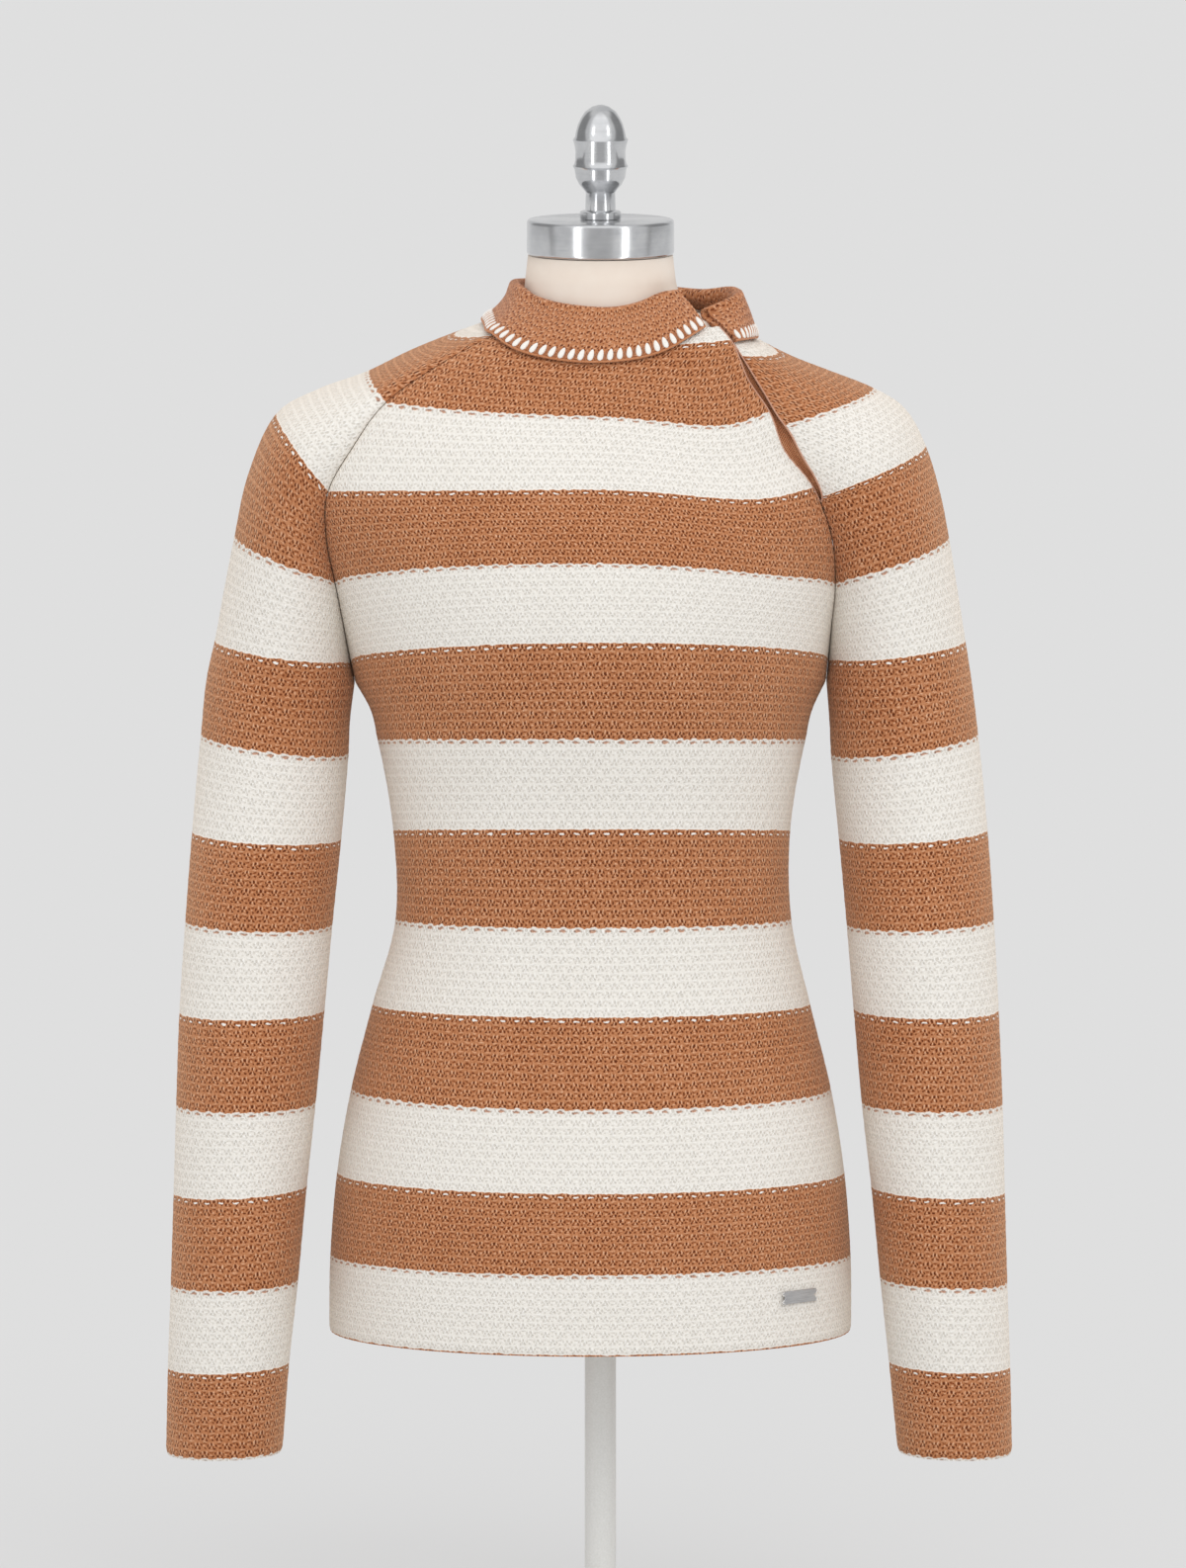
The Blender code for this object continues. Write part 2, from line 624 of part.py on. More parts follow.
def form_ring(course, angles):
    """The cloth's own line at a course, drawn in straight past the arms, at angles about the axis."""
    along = np.linspace(0, 1, 61)
    front, back = (body_at(course, along, side) for side in (-1, 1))
    pieces = [front, back]
    if course < UNDERARM:
        keep = ARM_SWELL.at("keep", course)
        for hand in ("right", "left"):
            arc = sleeve_at(course, along, hand)
            chord = arc[0] + (arc[-1] - arc[0]) * along[:, None]
            pieces.append(chord + (arc - chord) * keep)
    line = np.concatenate(pieces)
    around = np.arctan2(line[:, 1], line[:, 0])
    return np.stack([np.interp(angles, around, line[:, k], period=math.tau) for k in range(3)], -1)


def build_torso(garment, finish):
    """The smooth limbless torso with its neck, inside the cloth all round."""
    angles = np.arange(FORM_COLUMNS) * math.tau / FORM_COLUMNS
    surface = np.array([form_ring(course, angles) for course in garment.courses])
    down = np.gradient(surface, axis=0)
    across = np.roll(surface, -1, axis=1) - np.roll(surface, 1, axis=1)
    outward = unit(np.cross(across, -down))
    outward *= np.sign((outward[..., :2] * surface[..., :2]).sum(-1, keepdims=True))
    from_shoulder = np.degrees(np.abs(np.arcsin(np.sin(angles))))
    on_top = np.clip(1 - (from_shoulder / SHOULDER_SPREAD) ** 2, 0, 1)
    in_rows = np.interp(garment.courses, HANG_COURSES, HANG_SHARES)
    ease = FORM_EASE + (SHOULDER_EASE - FORM_EASE) * in_rows[:, None] * on_top
    rings = surface - outward * (WALL / 2 + ease)[..., None]
    top = []
    for height, radius, out in NECK:
        neck = np.stack([radius * np.cos(angles), radius * np.sin(angles), 0 * angles], -1)
        ring = neck * (1 - out) + rings[0] * out
        ring[:, 2] = height
        top.append(ring)
    rings = [ring for ring in rings if ring[:, 2].min() > FORM_BOTTOM + LAST_RING]
    bottom = rings[-1].copy()
    bottom[:, 2] = FORM_BOTTOM
    return lofted("form_torso", top + rings + [bottom], finish)


def rim(radius, height, rounding):
    """A rounded upper edge, as pairs of a radius and a height."""
    turns = (0, math.pi / 4, math.pi / 2)
    return [(radius - rounding * (1 - math.cos(t)), height - rounding * (1 - math.sin(t))) for t in turns]


def build_top(metal):
    """The metal cap on the neck, and the turned finial on the cap."""
    low = NECK_TOP + CLEAR
    high = low + CAP_HEIGHT
    turned("neck_cap", [(CAP_RADIUS, low), *rim(CAP_RADIUS, high, CAP_ROUND)], metal)
    turned("finial", [(r, high + CLEAR + z) for r, z in FINIAL], metal, 28)


def build_stand(painted):
    """Foot, pole and the flange that carries the torso."""
    under = [(FOOT_RADIUS - FOOT_BEVEL, 0), (FOOT_RADIUS, FOOT_BEVEL)]
    turned("stand_foot", under + rim(FOOT_RADIUS, FOOT_HEIGHT, FOOT_ROUND), painted, 48)
    high = FORM_BOTTOM - CLEAR
    low = high - FLANGE_HEIGHT
    turned("stand_flange", [(FLANGE_RADIUS, low), (FLANGE_RADIUS, high)], painted)
    turned("stand_pole", [(POLE_RADIUS, FOOT_HEIGHT + CLEAR), (POLE_RADIUS, low - CLEAR)], painted, 24)


def build():
    for old in list(bpy.data.objects):
        bpy.data.objects.remove(old)
    brown = material("brown_knit", "#B47C57", 0.95)
    cream = material("cream_knit", "#E8E4DE", 0.95)
    canvas = material("form_canvas", "#E8DCD0", 0.8)
    metal = material("brushed_aluminium", "#C2C4C7", 0.3, 1.0)
    painted = material("pale_painted_steel", "#DCDCDA", 0.5)
    garment = Garment()
    wall("front", garment.front.middle, garment.front.half, cream)
    wall("back", garment.back.middle, garment.back.half, cream)
    wall("sleeve_right", garment.right.middle, garment.right.half, brown, garment.ring)
    wall("sleeve_left", garment.left.middle, garment.left.half, brown, garment.ring)
    build_collar(garment, brown)
    build_facing(garment, brown)
    build_plate(garment, metal)
    build_torso(garment, canvas)
    build_top(metal)
    build_stand(painted)


build()
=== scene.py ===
"""Looks of the striped raglan sweater, its dress form and stand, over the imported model.

Sizes are in millimetres and become metres as each mesh is made. +Z is up and the front faces -Y.
Right and left are the wearer's, so right is towards -X. The cloth is laid out by its knitted
courses, as in the part's own source: a course is one stripe, counted down from the neck.
"""

import math

import bmesh
import bpy
import numpy as np
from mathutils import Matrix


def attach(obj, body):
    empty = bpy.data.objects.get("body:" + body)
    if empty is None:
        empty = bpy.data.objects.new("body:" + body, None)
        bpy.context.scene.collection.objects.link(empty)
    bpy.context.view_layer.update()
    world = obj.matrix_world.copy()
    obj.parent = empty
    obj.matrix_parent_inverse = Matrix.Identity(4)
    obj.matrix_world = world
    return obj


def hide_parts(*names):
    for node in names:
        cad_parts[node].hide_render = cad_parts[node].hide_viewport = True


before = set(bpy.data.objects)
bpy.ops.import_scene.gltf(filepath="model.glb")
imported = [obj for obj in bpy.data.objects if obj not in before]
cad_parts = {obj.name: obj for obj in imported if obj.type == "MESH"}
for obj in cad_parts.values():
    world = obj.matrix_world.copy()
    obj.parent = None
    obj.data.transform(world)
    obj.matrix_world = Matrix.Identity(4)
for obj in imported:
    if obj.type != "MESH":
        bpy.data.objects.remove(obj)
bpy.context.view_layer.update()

MM = 0.001

# Sizes shared with the solids
WALL = 2.4
COLLAR_WALL = 2.2
FACING_WALL = 1.2
FACING_CLEAR = 1.2
SEAM_GAP = 0.5
MITRE_LIMIT = 0.4
SAG_SKEW = 2.2
CLEAR = 0.4
NECK_COURSE = -0.3
OPENING_END = 2.15
UNDERARM = 4.25
HEM_COURSE = 12.0
CUFF_COURSE = 13.0
OPENING_ROWS = 8
OPENING_CROWDING = 1.3
UPPER_ROWS = 5
BODY_ROWS = 13
SLEEVE_ROWS = 14
PANEL_COLUMNS = 16
SLEEVE_COLUMNS = 14
FOLD_RADIUS = 2.4
EDGE_CLEAR = 1.0
UNDER_FRONT = 8.0
UNDER_SLEEVE = 6.0
NECK_TOP = 844.6
CAP_RADIUS = 44.6
CAP_HEIGHT = 21.5
CAP_ROUND = 2.4
FORM_BOTTOM = 218.0
FOOT_RADIUS = 130.0
FOOT_HEIGHT = 10.0
FOOT_ROUND = 2.5
POLE_RADIUS = 9.5
FLANGE_RADIUS = 36.0
FLANGE_HEIGHT = 5.0
PLATE_LENGTH = 29.0
PLATE_WIDTH = 7.8
PLATE_THICKNESS = 0.9
PLATE_NOTCH = 2.0
PLATE_COURSE = 11.35
PLATE_ALONG = 0.792
PLATE_CLEAR = 0.45

# The knit: a pair of stitches is a cell, every other row is shifted by half a cell
CELL = 9.0
ROWS_IN_COURSE = 10
ROW = 5.2
FINE_ROWS = 30  # mesh rows in a course
BODY_FINE = 222  # mesh columns
SLEEVE_FINE = 171
INNER_STEP = 3  # the inner face of the cloth is this much coarser
BAR_DEPTH = 0.3
STITCH_SWELL = 0.1
SEAM_DEPTH = 0.5  # the groove at a seam
SEAM_REACH = 1.6
END_DEPTH = 0.9  # how far the cloth rounds in at a hem or a cuff
END_REACH = 2.0

# Whip stitches over the collar's lower edge, and the strands of brown that show between them
WHIP_PITCH = 6.1
WHIP_ABOVE = 4.4  # from the edge to a stitch's middle
WHIP_LIFT = 0.15  # out of the cloth
WHIP_WIDTH = 3.7
WHIP_HEIGHT = 8.0
WHIP_TAPER = 0.6  # of its width, from its foot to its top
STRAND_BELOW = 0.6  # its middle lies this much below a stitch's
STRAND_SUNK = 0.05
STRAND_WIDTH = 0.7
STRAND_HEIGHT = 7.0
YARN_THICKNESS = 2.0
YARN_SPAN = 2.0  # above and below its middle, where the way that a yarn lies is measured
COLLAR_ROLL = 0.75
ROLL_OUT = 0.25  # of the collar's wall, from its middle
COLLAR_STEPS = 421  # mesh columns of the collar
COLLAR_ROWS = 47

# Facing behind the neck opening, and the bindings along it
RIB_PITCH = 1.5
RIB_DEPTH = 0.28  # out and in
RIB_KNOT = 1.7  # from knot to knot along a rib
FACING_ROWS = 101  # of its mesh
FACING_COLUMNS = 64
BINDING_FRONT = 0.45
BINDING_SLEEVE = 0.55

# Thread over the plate's ends, a loop at each corner
THREAD_RADIUS = 0.22
THREAD_INSIDE = 0.6  # a loop starts this far inside the end
THREAD_REACH = 1.3  # and goes this far out from there
THREAD_FROM_SIDE = 1.5
THREAD_HALF = 0.9  # half its height
THREAD_OVER = 0.25  # above the plate
PLATE_WEAR = 0.25  # how far its edges are rounded

# The rims of the flange and the pole
FLANGE_ROUND = 1.2
POLE_ROUND = 0.6

# Photograph: 0.6 mm a pixel on 1200 x 1586
FRAME_HEIGHT = 951.6
AIM = (-4.5, 0.0, 522.5)
CAMERA_AWAY = 12000.0
CAMERA_UP_DEG = 6.5

# Levels of light all round: what matt surfaces get, and what shiny ones mirror between the walls
EVEN_LIGHT = 0.95
BASE_LIGHT = 0.7

# Walls that metal mirrors: in degrees, the place round the object from the front, half width,
# lowest, highest and the edges' softness, and then the level that a wall adds or takes
STUDIO_WALLS = [
    (-36.5, 3.0, -45.0, 30.0, 3.0, 2.8),
    (40.0, 2.6, -45.0, 30.0, 3.0, 3.0),
    (0.0, 16.0, -50.0, 10.0, 7.0, -0.18),
    (0.0, 50.0, 24.0, 60.0, 12.0, 0.4),
    (-108.0, 22.0, -40.0, 40.0, 14.0, -0.4),
    (108.0, 22.0, -40.0, 40.0, 14.0, -0.4),
]
KEY_POWER = 0.8
KEY_SOFT_DEG = 40.0
KEY_UP_DEG = 50.0
KEY_ROUND_DEG = 15.0
BACKDROP = "#DFDFDF"
FLOOR_GLOW = 0.452

# In metres: the floor's reach to the sides and back, its front edge, and how far the camera sees
FLOOR_REACH = 60.0
FLOOR_FRONT = -0.6
SIGHT = 300.0


def curve(keys, values, at):
    """Values between keys, on a smooth curve through them. A value is a number or an array."""
    slopes = np.gradient(values, keys, axis=0)
    at = np.clip(np.asarray(at, float), keys[0], keys[-1])
    i = np.clip(np.searchsorted(keys, at) - 1, 0, len(keys) - 2)
    shape = at.shape + (1,) * (values.ndim - 1)
    width = (keys[i + 1] - keys[i]).reshape(shape)
    t = ((at - keys[i]).reshape(shape)) / width
    rise = t * t * (3 - 2 * t)
    leave = t * (1 - t) ** 2 * width
    arrive = t * t * (t - 1) * width
    return values[i] + (values[i + 1] - values[i]) * rise + leave * slopes[i] + arrive * slopes[i + 1]


class Table:
    """Sizes under named columns, a row for each course, read between rows on a smooth curve."""

    def __init__(self, names, rows):
        self.names = names.split()
        self.rows = np.array(rows, float)

    def at(self, name, key):
        return curve(self.rows[:, 0], self.rows[:, self.names.index(name)], key)


# Raglan seams on the front panel, neck to underarm
RAGLAN = Table("course right_x right_z left_x left_z", [
    [-0.3, -46.5, 801.4, 71.5, 804.0],
    [0.0, -64.5, 798.6, 78.9, 795.9],
    [0.5, -100.5, 780.5, 88.5, 774.0],
    [1.0, -130.5, 759.2, 101.8, 754.0],
    [1.5, -149.5, 733.2, 110.9, 731.0],
    [2.0, -164.5, 705.6, 128.6, 708.0],
    [2.5, -165.5, 677.4, 139.5, 678.0],
    [3.0, -160.5, 649.0, 141.9, 648.0],
    [3.5, -155.7, 622.0, 140.0, 622.0],
    [4.0, -151.5, 597.5, 138.2, 599.0],
    [4.25, -149.0, 585.0, 137.0, 586.0],
])

# Side seams of the body, underarm to hem
SIDE = Table("course right_x right_z left_x left_z y", [
    [4.25, -149.0, 585.0, 137.0, 586.0, 8.0],
    [4.6, -139.0, 568.0, 128.0, 568.0, 6.0],
    [5.0, -133.8, 547.9, 123.0, 547.9, 4.0],
    [6.0, -124.5, 493.0, 114.0, 493.0, 0.0],
    [7.0, -123.5, 438.6, 115.0, 438.6, -1.0],
    [8.0, -137.5, 386.7, 126.5, 386.7, 2.0],
    [9.0, -150.6, 334.7, 139.2, 334.7, 4.0],
    [10.0, -159.2, 283.4, 147.4, 283.4, 5.0],
    [11.0, -163.3, 233.0, 151.2, 233.0, 5.0],
    [12.0, -164.0, 188.0, 151.6, 188.0, 4.0],
])

# Sleeves: the line that is furthest from the body, neck to cuff
OUTER = Table("course right_x right_z left_x left_z", [
    [-0.3, -60.5, 806.4, 81.7, 796.5],
    [0.0, -89.7, 794.4, 108.5, 783.5],
    [0.5, -115.5, 784.0, 138.3, 772.4],
    [1.0, -141.3, 771.5, 166.0, 761.5],
    [1.5, -172.0, 760.5, 184.5, 749.0],
    [2.0, -196.5, 745.5, 196.5, 726.5],
    [2.5, -212.7, 709.5, 204.9, 698.8],
    [3.0, -221.1, 671.0, 210.5, 670.4],
    [3.5, -227.3, 639.4, 215.5, 639.6],
    [4.0, -233.1, 608.0, 220.5, 608.0],
    [4.25, -236.7, 592.3, 223.0, 592.3],
    [5.0, -241.5, 550.7, 228.3, 550.8],
    [6.0, -246.9, 491.9, 234.0, 493.1],
    [7.0, -251.1, 437.4, 237.9, 438.6],
    [8.0, -254.7, 382.3, 240.9, 383.5],
    [9.0, -256.7, 326.0, 243.3, 326.6],
    [10.0, -258.3, 272.7, 244.7, 273.3],
    [11.0, -260.1, 217.0, 246.3, 218.1],
    [12.0, -261.9, 166.4, 248.1, 167.0],
    [13.0, -263.1, 115.0, 249.3, 115.0],
])

# Sleeves: the line nearest to the body, underarm to cuff
INNER = Table("course right_x right_z left_x left_z", [
    [4.25, -149.0, 585.0, 137.0, 586.0],
    [4.6, -152.5, 562.0, 139.5, 562.0],
    [5.0, -154.2, 539.3, 141.3, 538.7],
    [6.0, -158.7, 487.7, 146.1, 488.3],
    [7.0, -164.1, 435.6, 150.9, 435.6],
    [8.0, -168.9, 384.1, 155.1, 384.7],
    [9.0, -174.3, 327.8, 160.1, 327.8],
    [10.0, -179.7, 277.5, 165.9, 276.9],
    [11.0, -185.1, 219.9, 171.3, 221.7],
    [12.0, -190.5, 170.0, 176.7, 170.6],
    [13.0, -194.7, 116.5, 182.1, 116.5],
])

# Sleeve sections: how far round the seams lie from the outer line (-90 closes the tube at the
# underarm), half the depth from front to back, and how far back the middle lies
SECTION = Table("course cut_deg depth middle_y", [
    [-0.3, 10.0, 39.0, 2.0],
    [0.0, 5.0, 47.0, 2.0],
    [0.5, 0.0, 57.0, 3.0],
    [1.0, -6.0, 63.0, 4.0],
    [1.5, -14.0, 66.0, 5.0],
    [2.0, -24.0, 66.5, 6.0],
    [2.5, -36.0, 65.0, 7.0],
    [3.0, -50.0, 62.0, 8.0],
    [3.5, -65.0, 59.0, 8.0],
    [4.0, -81.0, 56.0, 8.0],
    [4.25, -90.0, 54.5, 8.0],
    [5.0, -90.0, 51.5, 7.0],
    [6.0, -90.0, 49.5, 4.0],
    [7.0, -90.0, 48.5, 0.0],
    [8.0, -90.0, 47.5, -4.0],
    [9.0, -90.0, 46.0, -8.0],
    [10.0, -90.0, 44.0, -12.0],
    [11.0, -90.0, 42.0, -15.0],
    [12.0, -90.0, 40.0, -17.0],
    [13.0, -90.0, 38.0, -18.0],
])

# Middle lines of front and back, neck to hem, how far each row turns at its ends, and how far the
# front's courses sag on the left, where the opening lets them drop
MIDDLE = Table("course front_y front_z back_y back_z turn_deg sag", [
    [-0.3, -57.0, 801.5, 60.0, 812.0, 40.0, 0.0],
    [0.0, -66.0, 794.5, 69.0, 803.0, 38.0, 0.0],
    [0.5, -78.0, 774.5, 82.0, 784.0, 35.0, 4.0],
    [1.0, -89.0, 753.8, 91.0, 764.0, 32.0, 6.5],
    [1.5, -99.0, 733.5, 97.0, 740.0, 28.0, 7.0],
    [2.0, -107.0, 711.3, 100.0, 716.0, 24.0, 7.0],
    [2.5, -114.0, 690.3, 101.0, 692.0, 20.0, 4.5],
    [3.0, -119.0, 667.9, 101.0, 668.0, 15.0, 2.0],
    [3.5, -121.0, 644.5, 99.0, 645.0, 9.0, 0.5],
    [4.0, -120.0, 620.5, 96.0, 621.0, 3.0, 0.0],
    [4.25, -118.0, 606.0, 94.0, 606.0, 0.0, 0.0],
    [5.0, -108.0, 560.8, 88.0, 561.0, 0.0, 0.0],
    [6.0, -96.0, 505.0, 82.0, 505.0, 0.0, 0.0],
    [7.0, -90.5, 444.0, 82.0, 444.0, 0.0, 0.0],
    [8.0, -93.0, 390.0, 92.0, 390.0, 0.0, 0.0],
    [9.0, -100.0, 334.6, 104.0, 334.6, 0.0, 0.0],
    [10.0, -106.0, 284.6, 111.0, 284.6, 0.0, 0.0],
    [11.0, -110.0, 235.6, 113.0, 235.6, 0.0, 0.0],
    [12.0, -112.0, 187.5, 111.0, 187.5, 0.0, 0.0],
])

# Neck opening: how far the left sleeve's cut edge has moved off the front's, across and down
OPENING = Table("course across down", [
    [-0.3, 8.6, 10.4],
    [0.0, 6.6, 9.7],
    [0.5, 11.0, 9.5],
    [0.9, 9.6, 8.5],
    [1.2, 12.0, 8.0],
    [1.6, 13.5, 7.5],
    [2.0, 5.0, 5.0],
    [2.15, 0.0, 0.0],
])

# Collar: place round the neck (0 to 1 along the front from the opening, 1 to 2 over the right
# shoulder, 2 to 3 along the back, 3 to 4 over the left shoulder), where its foot stands on the neck
# edge, then the fold's angle from straight ahead, its radius and height, how far the fall rounds
# out between its fold and its edge, and the place and course of that edge
COLLAR = Table("place foot_place fold_angle fold_r fold_z crown edge_place edge_course", [
    [0.0, 0.09, -58.0, 55.5, 823.0, 0.8, 0.105, -0.28],
    [0.15, 0.185, -44.0, 53.0, 822.0, 0.8, 0.2, -0.11],
    [0.3, 0.315, -29.0, 52.0, 817.6, 0.8, 0.325, 0.11],
    [0.5, 0.5, -8.0, 52.0, 814.4, 0.8, 0.5, 0.255],
    [0.75, 0.75, 24.0, 52.0, 816.0, 0.4, 0.75, 0.21],
    [1.0, 1.0, 50.0, 51.5, 819.6, -1.4, 1.0, 0.01],
    [1.25, 1.25, 70.0, 51.2, 824.2, -3.0, 1.25, -0.165],
    [1.5, 1.5, 90.0, 52.0, 825.5, -3.2, 1.5, -0.205],
    [2.0, 2.0, 130.0, 56.0, 824.0, -1.0, 2.0, -0.12],
    [2.5, 2.5, 187.0, 60.0, 820.0, 0.8, 2.5, -0.05],
    [3.0, 3.0, 240.0, 70.0, 817.5, 0.8, 3.0, -0.1],
    [3.35, 3.35, 258.0, 82.0, 820.5, 0.8, 3.35, -0.155],
    [3.6, 3.6, 271.0, 83.0, 818.5, 0.8, 3.6, -0.205],
    [3.8, 3.8, 279.0, 76.0, 814.8, 0.8, 3.82, -0.24],
    [4.0, 4.0, 287.0, 66.0, 810.5, 0.8, 4.0, -0.28],
])

# Knob on the cap: radius and height above the cap, from its flange up to its crown
KNOB = [
    (12.5, 0.0),
    (12.5, 3.8),
    (11.9, 4.5),
    (9.2, 5.2),
    (8.9, 15.6),
    (9.9, 17.2),
    (12.8, 20.4),
    (14.9, 24.6),
    (15.7, 29.8),
    (16.8, 31.7),
    (15.8, 33.2),
    (15.3, 35.6),
    (15.1, 40.4),
    (15.7, 44.0),
    (16.8, 47.7),
    (15.5, 49.4),
    (14.6, 53.8),
    (13.5, 57.4),
    (11.8, 61.0),
    (9.4, 64.7),
    (5.0, 67.8),
    (1.6, 68.8),
]


def unit(v):
    """The same directions, with a length of 1."""
    return v / np.maximum(np.linalg.norm(v, axis=-1, keepdims=True), 1e-9)


# --- middle surfaces of the cloth -----------------------------------------------------------


def seam_y(course, side):
    """How far back a raglan seam lies: side is -1 for the front one and 1 for the back one."""
    cut = np.radians(SECTION.at("cut_deg", course))
    return SECTION.at("middle_y", course) + side * SECTION.at("depth", course) * np.cos(cut)


def seam_at(lower, hand, course):
    """Across and up: the raglan seam on one hand and, below the underarm, a line of a table."""
    above = course <= UNDERARM
    names = (hand + "_x", hand + "_z")
    return [np.where(above, RAGLAN.at(name, course), lower.at(name, course)) for name in names]


def body_at(course, along, side):
    """Points of the front (side -1) or the back (side 1). A row runs from its right edge, along 0,
    to its left one, along 1. Its edges are the raglan seams and, below them, the side seams."""
    y = np.where(course <= UNDERARM, seam_y(course, side), SIDE.at("y", course))
    (right_x, right_z), (left_x, left_z) = (seam_at(SIDE, hand, course) for hand in ("right", "left"))
    turn = np.radians(MIDDLE.at("turn_deg", course))
    angle = math.pi - turn - (math.pi - 2 * turn) * along
    share = (np.cos(angle) / np.cos(turn) + 1) / 2
    bulge = (np.sin(angle) - np.sin(turn)) / (1 - np.sin(turn))
    name = "front" if side < 0 else "back"
    rise = MIDDLE.at(name + "_z", course) - (right_z + left_z) / 2
    z = right_z * (1 - share) + left_z * share + rise * bulge
    if side < 0:
        z = z - MIDDLE.at("sag", course) * np.sin(math.pi * np.clip(2 * share - 1, 0, 1) ** SAG_SKEW)
    x = right_x * (1 - share) + left_x * share
    return np.stack([x, y + (MIDDLE.at(name + "_y", course) - y) * bulge, z], -1)


def sleeve_at(course, along, hand):
    """Points of a sleeve. A row is an arc of an ellipse from the front seam, along 0, over the
    outer line, to the back seam, along 1. Below the underarm it is the whole ellipse."""
    seam_x, seam_z = seam_at(INNER, hand, course)
    cut = np.where(course <= UNDERARM, np.radians(SECTION.at("cut_deg", course)), -math.pi / 2)
    angle = cut + (math.pi - 2 * cut) * along
    if hand == "left":
        open_here = (angle < math.pi / 2) & (course < OPENING_END)
        seam_x = seam_x + np.where(open_here, OPENING.at("across", course), 0)
        seam_z = seam_z - np.where(open_here, OPENING.at("down", course), 0)
    outer_x = OUTER.at(hand + "_x", course)
    outer_z = OUTER.at(hand + "_z", course)
    back_off = (1 - np.sin(angle)) / (1 - np.sin(cut))
    x = outer_x - (outer_x - seam_x) * back_off
    z = outer_z - (outer_z - seam_z) * back_off
    y = SECTION.at("middle_y", course) - SECTION.at("depth", course) * np.cos(angle)
    return np.stack([x, y, z], -1)


class Panel:
    """A cut panel: its middle surface, and a grid of it with the vectors to the outer face."""

    def __init__(self, surface, outward, courses, columns):
        self.surface = surface
        self.outward = outward  # 1 or -1, the side of the surface that faces out
        self.courses = courses
        along = np.linspace(0, 1, columns + 1)
        self.middle = surface(courses[:, None], along)
        self.half = self.normals(courses[:, None], along) * WALL / 2

    def normals(self, course, along, step=0.02):
        down = self.surface(course + step, along) - self.surface(course - step, along)
        across = self.surface(course, along + step) - self.surface(course, along - step)
        return unit(np.cross(down, across)) * self.outward


def sew(first, second, rows):
    """Closes a seam between two panels' edges, given as (panel, column, next column). Their cut
    faces lie SEAM_GAP apart, on either side of the plane that halves the angle between them."""
    panel, column, beside = first
    line = panel.middle[rows, column].copy()
    inwards = panel.middle[rows, beside] - line
    one = unit(panel.half[rows, column])
    other = unit(second[0].half[rows, second[1]])
    shared = unit(one + other)
    across = unit(np.cross(np.gradient(line, axis=0), shared))
    across *= np.sign((across * inwards).sum(-1, keepdims=True))
    lean = np.maximum((one * shared).sum(-1, keepdims=True), MITRE_LIMIT)
    for sewn, edge, sign in ((panel, column, 1), (second[0], second[1], -1)):
        sewn.middle[rows, edge] = line + across * sign * SEAM_GAP / 2
        sewn.half[rows, edge] = shared * WALL / 2 / lean


class Garment:
    """The four panels of the sweater, sewn together."""

    def __init__(self):
        crowded = np.linspace(0, 1, OPENING_ROWS + 1) ** OPENING_CROWDING
        opened = NECK_COURSE + (OPENING_END - NECK_COURSE) * crowded
        yoke = np.concatenate([opened, np.linspace(OPENING_END, UNDERARM, UPPER_ROWS + 1)[1:]])
        body = np.concatenate([yoke, np.linspace(UNDERARM, HEM_COURSE, BODY_ROWS)[1:]])
        sleeve = np.concatenate([yoke, np.linspace(UNDERARM, CUFF_COURSE, SLEEVE_ROWS)[1:]])
        self.ring = OPENING_ROWS + UPPER_ROWS
        self.front = Panel(lambda c, a: body_at(c, a, -1), 1, body, PANEL_COLUMNS)
        self.back = Panel(lambda c, a: body_at(c, a, 1), -1, body, PANEL_COLUMNS)
        self.right = Panel(lambda c, a: sleeve_at(c, a, "right"), -1, sleeve, SLEEVE_COLUMNS)
        self.left = Panel(lambda c, a: sleeve_at(c, a, "left"), 1, sleeve, SLEEVE_COLUMNS)
        whole = slice(0, self.ring)
        sewn = slice(OPENING_ROWS, self.ring)
        sides = slice(self.ring + 1, None)
        sew((self.front, 0, 1), (self.right, 0, 1), whole)
        sew((self.back, 0, 1), (self.right, -1, -2), whole)
        sew((self.front, -1, -2), (self.left, 0, 1), sewn)
        sew((self.back, -1, -2), (self.left, -1, -2), whole)
        sew((self.front, 0, 1), (self.back, 0, 1), sides)
        sew((self.front, -1, -2), (self.back, -1, -2), sides)
        self.close_underarm(0, self.right, 1)
        self.close_underarm(-1, self.left, -1)

    def close_underarm(self, column, sleeve, inwards):
        """Four panels meet in one point there, and the cloth faces straight down."""
        gap = SEAM_GAP / 2
        down = np.array([0, 0, -WALL / 2])
        self.front.middle[self.ring, column] += [inwards * gap, -gap, 0]
        self.back.middle[self.ring, column] += [inwards * gap, gap, 0]
        sleeve.middle[self.ring, [0, -1]] -= [inwards * gap, 0, 0]
        for panel in (self.front, self.back):
            panel.half[self.ring, column] = down
        sleeve.half[self.ring, [0, -1]] = down

    def round_neck(self, place, course):
        """Points and outward normals of the cloth at places round the neck, numbered as COLLAR's."""
        place = np.asarray(place, float)
        course = np.broadcast_to(course, place.shape).astype(float)
        points = np.zeros(place.shape + (3,))
        normals = points.copy()
        for number, panel in enumerate((self.front, self.right, self.back, self.left)):
            here = np.clip(place.astype(int), 0, 3) == number
            share = place[here] - number
            along = 1 - share if number in (0, 3) else share
            points[here] = panel.surface(course[here], along)
            normals[here] = panel.normals(course[here], along)
        return points, normals


# --- finishes ---------------------------------------------------------------------------------


def linear(colour):
    """An sRGB hex colour as the linear colour that a shader takes."""
    srgb = [int(colour[i : i + 2], 16) / 255 for i in (1, 3, 5)]
    return (*(c / 12.92 if c <= 0.04045 else ((c + 0.055) / 1.055) ** 2.4 for c in srgb), 1)


